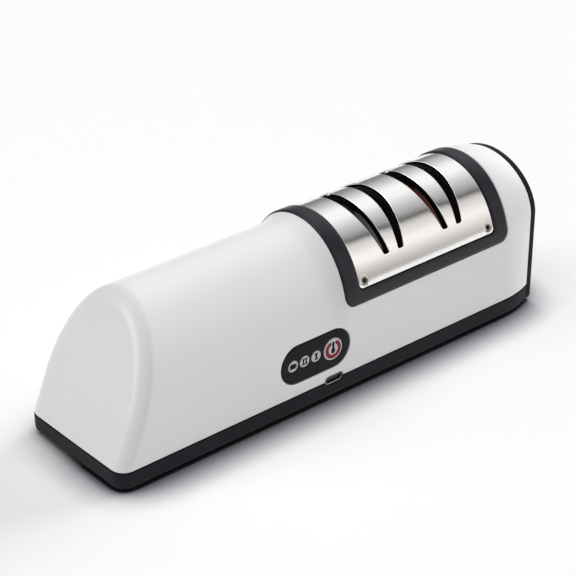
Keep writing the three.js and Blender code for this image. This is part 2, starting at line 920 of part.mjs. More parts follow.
// Its head lies in the tray's counterbore, and z = 0 is the head's underside.
const housingScrew = () =>
  turnedZ(
    [
      [0, 0],
      [0, screwHead],
      [screwHeadHeight, screwHead],
      [screwHeadHeight, screwShank],
      [screwLength, screwShank],
      [screwLength, 0],
    ],
    smallSteps,
  );

function foot() {
  const outline = (inset) =>
    rectangle(
      -footLength / 2 + inset,
      footLength / 2 - inset,
      -footWidth / 2 + inset,
      footWidth / 2 - inset,
      footCorner - inset,
    )
      .extractPoints(cornerSteps - 1)
      .shape.slice(0, -1);
  const ring = (inset, z) => outline(inset).map(({ x, y }) => [x, y, z]);
  return loft([
    ring(footRounding, 0),
    ring(0, footRounding),
    ring(0, footProud + footRecess),
  ]);
}

// Control panel, its button and lights, and the boards behind them

function controlPanel() {
  const shape = stadium(panelCentre, panelHeight, panelLength, panelWidth);
  const hole = ([x, z], radius) =>
    turnedY(rodProfile(-overrun, overrun, radius + panelHoleGap), smallSteps).translate(
      x,
      panelFace,
      z,
    );
  return cut(alongY(shape, panelFace, panelBack, smallSteps), [
    hole(buttonPlace, buttonRadius),
    ...indicatorPlaces.map((place) => hole(place, indicatorRadius)),
  ]);
}

const powerButton = () =>
  turnedY(
    [
      [-barrelHalfWidth, 0],
      [-barrelHalfWidth, buttonRadius - buttonCrown],
      [-barrelHalfWidth + buttonCrown, buttonRadius],
      [panelBack + seam, buttonRadius],
      [panelBack + seam, buttonRadius + buttonLip],
      [flangeBack, buttonRadius + buttonLip],
      [flangeBack, buttonStemRadius],
      [stemBack, buttonStemRadius],
      [stemBack, 0],
    ],
    middleSteps,
  );

const switchPlunger = () =>
  turnedY(rodProfile(stemBack + seam, switchFront + plungerDepth, plungerRadius), smallSteps);

function tactSwitch() {
  const half = switchSize / 2;
  const bore = rodProfile(
    switchFront - overrun,
    switchFront + plungerDepth + buttonTravel + seam,
    plungerRadius + seam,
  );
  return block([-half, half], [switchFront, boardFront - seam], [-half, half]).subtract(
    turnedY(bore, smallSteps),
  );
}

const ledFront = boardFront - seam - ledHeight;

const indicatorLens = () =>
  turnedY(
    [
      [panelFace, 0],
      [panelFace, indicatorRadius],
      [panelFace + indicatorFlange, indicatorRadius],
      [panelFace + indicatorFlange, indicatorRadius - indicatorShoulder],
      [ledFront - seam, indicatorRadius - indicatorShoulder],
      [ledFront - seam, 0],
    ],
    middleSteps / 2,
  );

const indicatorLed = () =>
  block([-ledLength / 2, ledLength / 2], [ledFront, boardFront - seam], [-ledWidth / 2, ledWidth / 2]);

const controlBoard = () =>
  alongY(
    rectangle(
      panelCentre - boardHalfLength,
      panelCentre + boardHalfLength,
      panelHeight - boardHalfHeight,
      panelHeight + boardHalfHeight,
      boardThickness,
    ),
    boardFront,
    boardBack,
  );

const chargeBoard = () =>
  alongZ(
    rectangle(
      usbCentre - chargeBoardLength / 2,
      usbCentre + chargeBoardLength / 2,
      chargeBoardFront,
      chargeBoardFront + chargeBoardWidth,
      boardThickness,
    ),
    chargeBoardBottom,
    chargeBoardTop,
  );

function usbSocket() {
  const outer = stadium(usbCentre, usbHeight, usbWidth, usbThickness);
  const inner = stadium(
    usbCentre,
    usbHeight,
    usbWidth - 2 * usbWall,
    usbThickness - 2 * usbWall,
  );
  const back = usbFront + usbDepth;
  return alongY(outer, usbFront, back, smallSteps / 2).subtract(
    alongY(inner, usbFront - overrun, back - usbBack, smallSteps / 2),
  );
}

const usbTongue = () =>
  block(
    [usbCentre - usbTongueWidth / 2, usbCentre + usbTongueWidth / 2],
    [usbFront + usbTongueSetback, usbFront + usbDepth - usbBack - seam],
    [usbHeight - usbTongueThickness / 2, usbHeight + usbTongueThickness / 2],
  );

// Spindle, on X through its own origin

const spindleLeft = motorFront + runGap + (couplerLength + couplerWeb) / 2 + seam;
const spindleRight = rightBracket + bushLength / 2 + runGap;
const shaftRight = motorFront + runGap + (couplerLength - couplerWeb) / 2 - seam;

const spindleShaft = () => turnedX(rodProfile(spindleLeft, spindleRight, spindleRadius), smallSteps);

const motorShaft = () =>
  turnedX(rodProfile(motorFront - motorShaftDepth, shaftRight, motorShaftRadius), smallSteps);

function shaftCoupler() {
  const low = motorFront + runGap;
  const high = low + couplerLength;
  const middle = (low + high) / 2;
  const body = turnedX(rodProfile(low, high, couplerRadius), middleSteps);
  return cut(body, [
    turnedX(rodProfile(low - overrun, middle - couplerWeb / 2, motorShaftRadius + seam), smallSteps),
    turnedX(rodProfile(middle + couplerWeb / 2, high + overrun, spindleRadius + seam), smallSteps),
  ]);
}

// The rim is bevelled on both faces.
const grindingWheel = () =>
  turnedX(
    [
      [-wheelHalfThickness, hubSeat + seam],
      [-wheelHalfThickness, wheelRadius - wheelBevel],
      [-wheelHalfThickness + wheelBevel, wheelRadius],
      [wheelHalfThickness - wheelBevel, wheelRadius],
      [wheelHalfThickness, wheelRadius - wheelBevel],
      [wheelHalfThickness, hubSeat + seam],
      [-wheelHalfThickness, hubSeat + seam],
    ],
    largeSteps,
  );

const flangeFace = wheelHalfThickness + seam;
const flangeOuter = flangeFace + hubFlangeThickness;

// The wheel's hub, with a fixed flange on its left and a seat for the washer on its right.
const wheelHub = () =>
  turnedX(
    [
      [-hubHalfLength, spindleRadius + seam],
      [-hubHalfLength, hubRadius],
      [-flangeOuter, hubRadius],
      [-flangeOuter, hubFlange],
      [-flangeFace, hubFlange],
      [-flangeFace, hubSeat],
      [wheelHalfThickness, hubSeat],
      [wheelHalfThickness, hubRadius],
      [hubHalfLength, hubRadius],
      [hubHalfLength, spindleRadius + seam],
      [-hubHalfLength, spindleRadius + seam],
    ],
    smallSteps,
  );

const wheelWasher = () =>
  turnedX(tubeProfile(flangeFace, flangeOuter, hubRadius + seam, hubFlange), smallSteps);

const wheelSpacer = () =>
  turnedX(
    tubeProfile(
      fineCentre + hubHalfLength + seam,
      coarseCentre - hubHalfLength - seam,
      spindleRadius + seam,
      spacerRadius,
    ),
    smallSteps,
  );

// Flanged bush, pushed into its bracket from the side that the flange faces.
const bush = (side) =>
  turnedX(
    [
      [(-side * bushLength) / 2, spindleRadius + seam],
      [(-side * bushLength) / 2, bushRadius],
      [side * (bracketThickness / 2 + seam), bushRadius],
      [side * (bracketThickness / 2 + seam), bushFlange],
      [side * (bracketThickness / 2 + seam + bushFlangeThickness), bushFlange],
      [side * (bracketThickness / 2 + seam + bushFlangeThickness), spindleRadius + seam],
      [(-side * bushLength) / 2, spindleRadius + seam],
    ],
    smallSteps,
  );

// Bearing bracket: toes on the floor, sides that lean in to a round head, a window below the bore.
function bearingBracket() {
  const shape = new THREE.Shape();
  shape.moveTo(-bracketHalfWidth, bedHeight);
  shape.lineTo(bracketHalfWidth, bedHeight);
  shape.lineTo(bracketHalfWidth, bedHeight + bracketToe);
  shape.absarc(0, spindleHeight, bracketHead, 0, 2 * quarter);
  shape.lineTo(-bracketHalfWidth, bedHeight + bracketToe);
  const windowHigh = spindleHeight - bracketHead - bracketWindow;
  const windowLow = bedHeight + bracketToe + bracketWindow / 2;
  const bore = new THREE.Path().absarc(0, spindleHeight, bushRadius + seam, 0, 4 * quarter);
  const window = new THREE.Path();
  window.absarc(0, windowHigh, bracketWindow, 0, 2 * quarter);
  window.absarc(0, windowLow, bracketWindow, 2 * quarter, 4 * quarter);
  shape.holes.push(bore, window);
  return alongX(shape, -bracketThickness / 2, bracketThickness / 2, middleSteps / 2);
}

// Motor, its cradle and strap, and the cell

function motorCan() {
  const low = canLeft;
  const profile = [
    [low, 0],
    [low, motorRadius],
    [canRight - motorCanRounding, motorRadius],
    [canRight, motorRadius - motorCanRounding],
    [canRight, motorBossRadius],
    [motorFront, motorBossRadius],
    [motorFront, 0],
  ];
  const bore = rodProfile(
    motorFront - motorShaftDepth - seam,
    motorFront + overrun,
    motorShaftRadius + seam,
  );
  return turnedX(profile, middleSteps).subtract(turnedX(bore, smallSteps));
}

const motorEndBell = () =>
  turnedX(
    [
      [motorRear, 0],
      [motorRear, motorBossRadius],
      [motorRear + motorRearBoss, motorBossRadius],
      [motorRear + motorRearBoss, motorRadius - endBellSetIn - motorCanRounding],
      [motorRear + motorRearBoss + motorCanRounding, motorRadius - endBellSetIn],
      [canLeft - seam, motorRadius - endBellSetIn],
      [canLeft - seam, 0],
    ],
    middleSteps,
  );

const cradleTop = spindleHeight - cradleDrop;

function motorCradle() {
  const chord = Math.sqrt(seatRadius ** 2 - cradleDrop ** 2);
  const angle = Math.atan2(-cradleDrop, chord);
  const shape = new THREE.Shape();
  shape.moveTo(-cradleHalfWidth, bedHeight);
  shape.lineTo(cradleHalfWidth, bedHeight);
  shape.lineTo(cradleHalfWidth, cradleTop);
  shape.absarc(0, spindleHeight, seatRadius, angle, -2 * quarter - angle, true);
  shape.lineTo(-cradleHalfWidth, cradleTop);
  const tunnelLow = bedHeight + cradleDrop;
  const tunnelHigh = spindleHeight - seatRadius - cradleDrop;
  const tunnelRadius = (tunnelHigh - tunnelLow) / 2;
  const tunnel = new THREE.Path();
  tunnel.absarc(0, tunnelLow + tunnelRadius, tunnelRadius, 0, 4 * quarter);
  shape.holes.push(tunnel);
  const [left, right] = [cradleCentre - cradleLength / 2, cradleCentre + cradleLength / 2];
  return alongX(shape, left, right, smallSteps).subtract(chargeBoardRoom());
}

function motorStrap() {
  const low = cradleTop + seam;
  const shape = new THREE.Shape();
  shape.moveTo(cradleHalfWidth, low);
  shape.lineTo(cradleHalfWidth, low + strapThickness);
  shape.lineTo(strapReach, low + strapThickness);
  shape.absarc(0, spindleHeight, strapReach, 0, 2 * quarter);
  shape.lineTo(-strapReach, low + strapThickness);
  shape.lineTo(-cradleHalfWidth, low + strapThickness);
  shape.lineTo(-cradleHalfWidth, low);
  shape.lineTo(-seatRadius, low);
  shape.absarc(0, spindleHeight, seatRadius, 2 * quarter, 0, true);
  shape.lineTo(seatRadius, low);
  return alongX(shape, cradleCentre - strapWidth / 2, cradleCentre + strapWidth / 2, smallSteps);
}

const batteryCell = () =>
  turnedX([
    [cellLeft, 0],
    [cellLeft, cellRadius - cellRounding],
    [cellLeft + cellRounding, cellRadius],
    [cellRight - cellCapHeight - cellRounding, cellRadius],
    [cellRight - cellCapHeight, cellRadius - cellRounding],
    [cellRight - cellCapHeight, cellCapRadius],
    [cellRight, cellCapRadius],
    [cellRight, 0],
  ]);

function batteryBed() {
  const seat = cellRadius + seam;
  const outer = seat + cellBedWall;
  const shape = new THREE.Shape();
  shape.moveTo(-outer, bedHeight);
  shape.lineTo(outer, bedHeight);
  shape.lineTo(outer, cellHeight);
  shape.absarc(0, cellHeight, seat, 0, -2 * quarter, true);
  shape.lineTo(-outer, cellHeight);
  return alongX(shape, bedLeft, bedRight, smallSteps);
}

// Finishes

const finishes = {
  whitePlastic: { color: 0xe9e7e4, roughness: 0.38, metalness: 0 },
  blackPlastic: { color: 0x1b1b1e, roughness: 0.55, metalness: 0 },
  charcoalPlastic: { color: 0x2c2c31, roughness: 0.4, metalness: 0 },
  brushedSteel: { color: 0xc4c3c1, roughness: 0.28, metalness: 1 },
  bareSteel: { color: 0x9a9a98, roughness: 0.35, metalness: 1 },
  rubber: { color: 0x121213, roughness: 0.85, metalness: 0 },
  panelGloss: { color: 0x18181b, roughness: 0.25, metalness: 0 },
  greyPlastic: { color: 0xcfc9cd, roughness: 0.4, metalness: 0 },
  boardGreen: { color: 0x1d5a36, roughness: 0.5, metalness: 0 },
  bronze: { color: 0x9b7440, roughness: 0.4, metalness: 1 },
  cellWrap: { color: 0x2f6fb0, roughness: 0.35, metalness: 0 },
  coarseGrit: { color: 0x7a3a2e, roughness: 0.95, metalness: 0 },
  fineGrit: { color: 0xb9b6ae, roughness: 0.85, metalness: 0 },
};

const group = new THREE.Group();

function add(name, made, finish, parent = group) {
  const mesh = new THREE.Mesh(
    geometryOf(made),
    new THREE.MeshStandardMaterial(finishes[finish]),
  );
  mesh.name = name;
  parent.add(mesh);
  return mesh;
}

add("upper_shell", upperShell(), "whitePlastic");
add("base_tray", baseTray(), "blackPlastic");
add("end_cap", endCap(), "blackPlastic");
add("saddle_bezel", saddleBezel(), "charcoalPlastic");
add("cover_plate", coverPlate(), "brushedSteel");
add("guide_block", guideBlock(), "blackPlastic");

coverScrewPlaces.forEach(([x, place], i) => {
  const screw = add(`cover_screw_${i + 1}`, coverScrew(), "bareSteel");
  screw.position.set(x, place.y, place.z);
  screw.rotation.x = place.turn;
});

screwPlaces.forEach(([x, y], i) => {
  const screw = add(`housing_screw_${i + 1}`, housingScrew(), "bareSteel");
  screw.position.set(x, y, footProud + screwSink);
});

footPlaces.forEach(([x, y], i) => {
  add(`foot_${i + 1}`, foot(), "rubber").position.set(x, y, 0);
});

add("control_panel", controlPanel(), "panelGloss");
add("control_board", controlBoard(), "boardGreen");
add("charge_board", chargeBoard(), "boardGreen");
add("usb_socket", usbSocket(), "bareSteel");
add("usb_tongue", usbTongue(), "blackPlastic");

const buttonGroup = new THREE.Group();
buttonGroup.position.set(buttonPlace[0], 0, buttonPlace[1]);
group.add(buttonGroup);
add("power_button", powerButton(), "greyPlastic", buttonGroup);
add("switch_plunger", switchPlunger(), "blackPlastic", buttonGroup);
add("tact_switch", tactSwitch(), "blackPlastic", buttonGroup);

indicatorPlaces.forEach(([x, z], i) => {
  add(`indicator_lens_${i + 1}`, indicatorLens(), "greyPlastic").position.set(x, 0, z);
  add(`indicator_led_${i + 1}`, indicatorLed(), "greyPlastic").position.set(x, 0, z);
});

const driveGroup = new THREE.Group();
driveGroup.position.z = spindleHeight;
group.add(driveGroup);
add("motor_can", motorCan(), "bareSteel", driveGroup);
add("motor_end_bell", motorEndBell(), "blackPlastic", driveGroup);
add("motor_shaft", motorShaft(), "bareSteel", driveGroup);
add("shaft_coupler", shaftCoupler(), "bronze", driveGroup);
add("spindle_shaft", spindleShaft(), "bareSteel", driveGroup);
add("wheel_spacer", wheelSpacer(), "greyPlastic", driveGroup);

const stages = [
  { name: "fine", centre: fineCentre, finish: "fineGrit" },
  { name: "coarse", centre: coarseCentre, finish: "coarseGrit" },
];
for (const { name, centre, finish } of stages) {
  add(`${name}_wheel`, grindingWheel(), finish, driveGroup).position.x = centre;
  add(`${name}_hub`, wheelHub(), "greyPlastic", driveGroup).position.x = centre;
  add(`${name}_washer`, wheelWasher(), "bareSteel", driveGroup).position.x = centre;
}

const bearings = [
  { name: "left", centre: leftBracket, side: -1 },
  { name: "right", centre: rightBracket, side: 1 },
];
for (const { name, centre, side } of bearings) {
  add(`${name}_bracket`, bearingBracket(), "blackPlastic").position.x = centre;
  add(`${name}_bush`, bush(side), "bronze", driveGroup).position.x = centre;
}

add("motor_cradle", motorCradle(), "blackPlastic");
add("motor_strap", motorStrap(), "bareSteel");
add("battery_bed", batteryBed(), "blackPlastic");
add("battery_cell", batteryCell(), "cellWrap").position.z = cellHeight;

export default group;
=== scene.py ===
# Electric knife sharpener: finished skins, steel saddle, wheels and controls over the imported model.
from math import ceil, cos, hypot, pi, radians, sin

import bmesh
import bpy
import numpy as np
from mathutils import Matrix, Vector
from mathutils.geometry import delaunay_2d_cdt


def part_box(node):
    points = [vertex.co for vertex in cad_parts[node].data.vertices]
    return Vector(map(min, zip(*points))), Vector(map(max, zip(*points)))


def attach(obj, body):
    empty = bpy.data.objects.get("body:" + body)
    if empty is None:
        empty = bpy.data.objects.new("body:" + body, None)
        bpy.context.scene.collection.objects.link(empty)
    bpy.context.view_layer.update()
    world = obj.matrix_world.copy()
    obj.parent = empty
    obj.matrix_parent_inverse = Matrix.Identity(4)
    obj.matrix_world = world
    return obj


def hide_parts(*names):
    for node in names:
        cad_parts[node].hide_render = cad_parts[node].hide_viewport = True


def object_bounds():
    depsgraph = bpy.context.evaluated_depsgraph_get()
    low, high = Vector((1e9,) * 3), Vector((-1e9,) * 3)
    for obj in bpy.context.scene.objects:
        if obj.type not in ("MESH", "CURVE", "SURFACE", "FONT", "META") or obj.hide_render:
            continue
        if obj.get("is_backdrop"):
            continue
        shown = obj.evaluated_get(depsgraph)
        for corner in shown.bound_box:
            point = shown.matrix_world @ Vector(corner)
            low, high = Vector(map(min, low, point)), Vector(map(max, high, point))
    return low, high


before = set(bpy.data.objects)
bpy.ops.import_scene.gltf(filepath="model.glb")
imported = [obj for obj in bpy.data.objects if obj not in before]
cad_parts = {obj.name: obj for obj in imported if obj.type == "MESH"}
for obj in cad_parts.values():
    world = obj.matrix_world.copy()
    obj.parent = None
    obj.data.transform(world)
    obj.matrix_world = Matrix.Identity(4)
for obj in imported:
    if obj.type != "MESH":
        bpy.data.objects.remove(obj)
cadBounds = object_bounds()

mm = 0.001  # every setting below is in millimetres, and meshes are in metres
sharpAngle = 40  # steeper edges stay sharp


def boxOf(node):
    low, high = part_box(node)
    return np.array(low) / mm, np.array(high) / mm


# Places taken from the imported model
shellLow, shellHigh = boxOf("upper_shell")
bezelLow, bezelHigh = boxOf("saddle_bezel")
coverLow, coverHigh = boxOf("cover_plate")
trayLow = boxOf("base_tray")[0]
capLow, capHigh = boxOf("end_cap")
panelLow, panelHigh = boxOf("control_panel")
buttonLow, buttonHigh = boxOf("power_button")
usbLow, usbHigh = boxOf("usb_socket")

# The housing's form: sections across it, and how they run into each other. An arch of power 2 is
# an ellipse, and a higher power makes it squarer.
form = {
    "barrel": {"halfWidth": 30.3, "shoulder": 24.7, "crown": 66.4, "power": 1.98},
    "saddle": {"halfWidth": 30.2, "shoulder": 30.2, "crown": 68.1, "power": 2.08},
    "tail": {"halfWidth": 26.8, "shoulder": 42.4, "crown": 64.7, "power": 1.92},
    "rayHeight": 24.7,
    "endRadius": 6,
    "endSlope": 0.42,
    "endReach": 24,
    "faceDrawIn": 0.38,
    "collarLength": 9,
    "seam": 0.3,
    "wall": 2.2,
}
seam = form["seam"]
leftEnd, tailEnd = shellLow[0], shellHigh[0]
partingTop = shellLow[2]
parting = partingTop - seam / 2
saddleLeft, saddleRight = bezelLow[0] - seam, bezelHigh[0] + seam
collarStart = saddleLeft - form["collarLength"]
arcStart = leftEnd + form["endRadius"]
faceStart = arcStart - form["endRadius"] * pi / 2
tipU = faceStart - form["endReach"]


# Section geometry: v runs over the arch from the crown, below zero on the panel's side

search = {"halvings": 44, "sweepPoints": 600, "leanRounds": 6}


def reachOf(section, inset, angle):
    halfWidth = section["halfWidth"] - inset
    rise = section["crown"] - inset - section["shoulder"]
    low, high = np.zeros_like(angle), np.full_like(angle, 2 * section["crown"])
    for halving in range(search["halvings"]):
        middle = (low + high) / 2
        y = np.abs(middle * np.cos(angle)) / halfWidth
        z = np.maximum(form["rayHeight"] + middle * np.sin(angle) - section["shoulder"], 0) / rise
        outside = y ** section["power"] + z ** section["power"] > 1
        low, high = np.where(outside, low, middle), np.where(outside, middle, high)
    return low


sweep = np.linspace(pi / 2, 0, search["sweepPoints"])
sweepReach = reachOf(form["saddle"], 0, sweep)
sweepSteps = np.hypot(np.diff(sweepReach * np.cos(sweep)), np.diff(sweepReach * np.sin(sweep)))
sweepLength = np.concatenate([[0], np.cumsum(sweepSteps)])
rayLength = sweepLength[-1]  # from the crown to where the wall runs straight down


def sectionPoint(section, inset, v):
    angle = np.interp(np.abs(v), sweepLength, sweep)
    reach = reachOf(section, inset, angle)
    drop = np.maximum(np.abs(v) - rayLength, 0)
    return np.sign(v) * reach * np.cos(angle), form["rayHeight"] + reach * np.sin(angle) - drop


def vAtHeight(section, z):
    reach = reachOf(section, 0, sweep)
    heights = form["rayHeight"] + reach * np.sin(sweep)
    onArch = np.interp(z, heights[::-1], sweepLength[::-1])
    return np.where(z < form["rayHeight"], rayLength + form["rayHeight"] - z, onArch)


def leanShare(x):
    return np.maximum(0, (collarStart - x) / (collarStart - leftEnd))


def sectionShares(x):
    collar = np.clip((x - collarStart) / form["collarLength"], 0, 1) ** 2
    tail = np.clip((x - saddleRight) / (tailEnd - saddleRight), 0, 1) ** 2
    return {"barrel": 1 - collar, "saddle": collar - tail, "tail": tail}


def bodyPoint(u, v, depth):  # u runs along the housing, over the slanted end's rounding and face
    u, v, depth = np.broadcast_arrays(*(np.asarray(value, float) for value in (u, v, depth)))
    radius, slope = form["endRadius"], form["endSlope"]
    turn = np.clip((arcStart - u) / radius, 0, pi / 2)
    share = np.clip((faceStart - u) / form["endReach"], 0, 1)
    inset = radius * (1 - np.cos(turn)) + depth * np.cos(turn)
    x = np.where(u > arcStart, u, leftEnd + radius * (1 - np.sin(turn)))
    y, z = np.zeros_like(u), np.zeros_like(u)
    for name, weight in sectionShares(x).items():
        sectionY, sectionZ = sectionPoint(form[name], inset, v)
        y, z = y + weight * sectionY, z + weight * sectionZ
    y = y * (1 - share)
    z = partingTop + (z - partingTop) * (1 - form["faceDrawIn"] * share)
    x = x + depth * np.sin(turn) * hypot(1, slope)
    x = x + slope * np.maximum(0, z - parting) * leanShare(x)
    return np.stack([x, y, z], axis=-1)


def onBarrel(points):  # (x, z) places on the panel's side become (u, v)
    x, z = points[:, 0], points[:, 1]
    u = x
    for leanRound in range(search["leanRounds"]):
        u = x - form["endSlope"] * np.maximum(0, z - parting) * leanShare(u)
    return np.stack([u, -vAtHeight(form["barrel"], z)], axis=-1)


# Outlines

def rectangle(left, right, low, high):
    return [(left, low), (right, low), (right, high), (left, high)]


def arcPoints(centre, radius, start, end, steps):
    angles = np.linspace(start, end, steps + 1)
    return [(centre[0] + radius * cos(a), centre[1] + radius * sin(a)) for a in angles]


def roundedRect(left, right, low, high, radius, steps=10):
    points = arcPoints((right - radius, high - radius), radius, 0, pi / 2, steps)
    points += arcPoints((left + radius, high - radius), radius, pi / 2, pi, steps)
    points += arcPoints((left + radius, low + radius), radius, pi, 1.5 * pi, steps)
    points += arcPoints((right - radius, low + radius), radius, 1.5 * pi, 2 * pi, steps)
    return np.array(points)


def stadium(x, z, length, width, steps=24):
    radius, reach = width / 2, (length - width) / 2
    points = arcPoints((x + reach, z), radius, -pi / 2, pi / 2, steps)
    return np.array(points + arcPoints((x - reach, z), radius, pi / 2, 1.5 * pi, steps))


def around(low, high, grow=0, rise=0, steps=24):  # a box's round-ended outline from the front
    centre, size = (low + high) / 2, high - low
    return stadium(centre[0], centre[2] + rise, size[0] + 2 * grow, size[2] + 2 * grow, steps)


def circle(x, z, radius, steps=40):
    return np.array(arcPoints((x, z), radius, 0, 2 * pi, steps)[:-1])


def resampled(loop, spacing):
    points = []
    for start, end in zip(loop, np.roll(loop, -1, axis=0)):
        count = max(1, ceil(np.linalg.norm(end - start) / spacing))
        points += [start + (end - start) * i / count for i in range(count)]
    return np.array(points)


def spaced(start, end, step):
    return np.linspace(start, end, max(2, ceil(abs(end - start) / step) + 1))


def grid(places, steps):  # one step size between each place and the next
    spans = zip(places, places[1:], steps)
    return np.unique(np.concatenate([spaced(start, end, step) for start, end, step in spans]))


def quarterRound(radius, steps):  # (inset, rise) pairs round an edge, from full inset to none
    turns = [pi / 2 * i / steps for i in range(steps + 1)]
    return [(radius * (1 - sin(turn)), radius * (1 - cos(turn))) for turn in turns]


# Meshes

meshing = {
    "weld": 2e-6,
    "degenerate": 1e-8,
    "same": 1e-6,
    "triangulation": 1e-7,
    "edgeClearance": 0.45,
    "rimSteps": 3,
    "bevelSegments": 2,
    "bevelAngle": 50,
}


def newObject(name, mesh):
    piece = bpy.data.objects.new(name, mesh)
    bpy.context.scene.collection.objects.link(piece)
    return piece


def meshObject(name, points, faces, weld=None):
    mesh = bpy.data.meshes.new(name)
    mesh.from_pydata([tuple(p) for p in np.asarray(points) * mm], [], faces)
    made = bmesh.new()
    made.from_mesh(mesh)
    if weld is not None:
        made.verts.ensure_lookup_table()
        welded = [made.verts[i] for i in weld]
        bmesh.ops.remove_doubles(made, verts=welded, dist=meshing["weld"])
        bmesh.ops.dissolve_degenerate(made, edges=made.edges, dist=meshing["degenerate"])
    smoothed(made)
    made.to_mesh(mesh)
    made.free()
    return newObject(name, mesh)


def smoothed(made):
    bmesh.ops.recalc_face_normals(made, faces=made.faces)
    for face in made.faces:
        face.smooth = True
    for edge in made.edges:
        edge.smooth = edge.calc_face_angle(0) < radians(sharpAngle)


def weighted(piece):
    modifier = piece.modifiers.new("Weighted Normal", "WEIGHTED_NORMAL")
    modifier.keep_sharp = True
    return piece


def softEdges(piece, width):
    bevel = piece.modifiers.new("Bevel", "BEVEL")
    bevel.width = width * mm
    bevel.segments = meshing["bevelSegments"]
    bevel.limit_method = "ANGLE"
    bevel.angle_limit = radians(meshing["bevelAngle"])
    return weighted(piece)


def leftNormals(loop):
    ahead = np.roll(loop, -1, axis=0) - loop
    ahead /= np.linalg.norm(ahead, axis=1)[:, None]
    normals = np.stack([-ahead[:, 1], ahead[:, 0]], axis=-1)
    before = np.roll(normals, 1, axis=0)
    return (normals + before) / (1 + np.sum(normals * before, axis=1))[:, None]


def turnedTo(loop, counterclockwise):
    ahead = np.roll(loop, -1, axis=0)
    area = np.sum(loop[:, 0] * ahead[:, 1] - loop[:, 1] * ahead[:, 0])
    return loop if (area > 0) == counterclockwise else loop[::-1]


def insideOf(points, loops):
    odd = np.zeros(len(points), bool)
    for loop in loops:
        for (ax, ay), (bx, by) in zip(loop, np.roll(loop, -1, axis=0)):
            if ay == by:
                continue
            crosses = (ay > points[:, 1]) != (by > points[:, 1])
            odd ^= crosses & (points[:, 0] < ax + (points[:, 1] - ay) * (bx - ax) / (by - ay))
    return odd


def distanceTo(points, loops):
    nearest = np.full(len(points), np.inf)
    for loop in loops:
        for start, end in zip(loop, np.roll(loop, -1, axis=0)):
            along = end - start
            share = np.clip((points - start) @ along / (along @ along), 0, 1)
            gaps = np.linalg.norm(points - start - share[:, None] * along, axis=1)
            nearest = np.minimum(nearest, gaps)
    return nearest


# A skin over a mapped surface: the first loop bounds it, the others are holes. At openU it ends
# without an edge, where its two halves meet.
def sheet(name, loops, gridU, gridV, place, depth, rim, openU=None):
    loops = [turnedTo(loop, i == 0) for i, loop in enumerate(loops)]
    offsets = [leftNormals(loop) for loop in loops]
    if openU is not None:
        offsets[0][np.abs(loops[0][:, 0] - openU) < meshing["same"], 0] = 0
    flats = [loop + rim * offset for loop, offset in zip(loops, offsets)]
    inner = np.array(np.meshgrid(gridU, gridV)).reshape(2, -1).T
    inner = inner[insideOf(inner, flats)]
    inner = inner[distanceTo(inner, flats) > meshing["edgeClearance"]]
    edges, count = [], 0
    for flat in flats:
        edges += [(count + i, count + (i + 1) % len(flat)) for i in range(len(flat))]
        count += len(flat)
    inputs = [Vector(p) for p in np.vstack(flats + [inner])]
    made = delaunay_2d_cdt(inputs, edges, [], 0, meshing["triangulation"])
    plane = np.array([tuple(p) for p in made[0]])
    triangles = np.array([tuple(f) for f in made[2]])
    triangles = triangles[insideOf(plane[triangles].mean(axis=1), flats)]
    outputOf = {source: i for i, sources in enumerate(made[3]) for source in sources}

    layers, faces, size = [np.column_stack([plane, np.zeros(len(plane))])], [], len(plane)
    faces += [tuple(int(i) for i in t) for t in triangles]
    back = np.column_stack([plane, np.full(len(plane), depth)])
    start, strips = 0, []
    for loop, offset in zip(loops, offsets):
        rings = [[outputOf[start + i] for i in range(len(loop))]]
        start += len(loop)
        for inset, rise in quarterRound(rim, meshing["rimSteps"])[1:]:
            ring = loop + inset * offset
            layers.append(np.column_stack([ring, np.full(len(ring), rise)]))
            rings.append(list(range(size, size + len(ring))))
            size += len(ring)
        layers.append(np.column_stack([loop, np.full(len(loop), depth)]))
        rings.append(list(range(size, size + len(loop))))
        size += len(loop)
        strips.append((loop, rings))
    layers.append(back)
    faces += [tuple(size + int(i) for i in t[::-1]) for t in triangles]
    for loop, rings in strips:
        rings.append([size + i for i in rings[0]])
        for i in range(len(loop)):
            j = (i + 1) % len(loop)
            if openU is not None and np.all(np.abs(loop[[i, j], 0] - openU) < meshing["same"]):
                continue
            faces += [(a[i], b[i], b[j], a[j]) for a, b in zip(rings, rings[1:])]
    placed = np.vstack(layers)
    points = place(placed[:, 0], placed[:, 1], placed[:, 2])
    weld = None
    if openU is not None:
        weld = np.flatnonzero(np.abs(placed[:, 0] - openU) < meshing["same"]).tolist()
    return weighted(meshObject(name, points, faces, weld=weld))


def loft(name, rings):  # a closed solid through rings of equal counts
    count = len(rings[0])
    points = np.vstack(rings)
    faces = [tuple(range(count))[::-1], tuple(range(len(points) - count, len(points)))]
    for r in range(len(rings) - 1):
        for i in range(count):
            j = (i + 1) % count
            faces.append((r * count + i, r * count + j, (r + 1) * count + j, (r + 1) * count + i))
    return meshObject(name, points, faces)


axisTurns = {
    "X": Matrix(((0, 0, 1), (1, 0, 0), (0, 1, 0))),
    "Y": Matrix(((0, 1, 0), (0, 0, 1), (1, 0, 0))),
    "Z": Matrix(((1, 0, 0), (0, 1, 0), (0, 0, 1))),
}


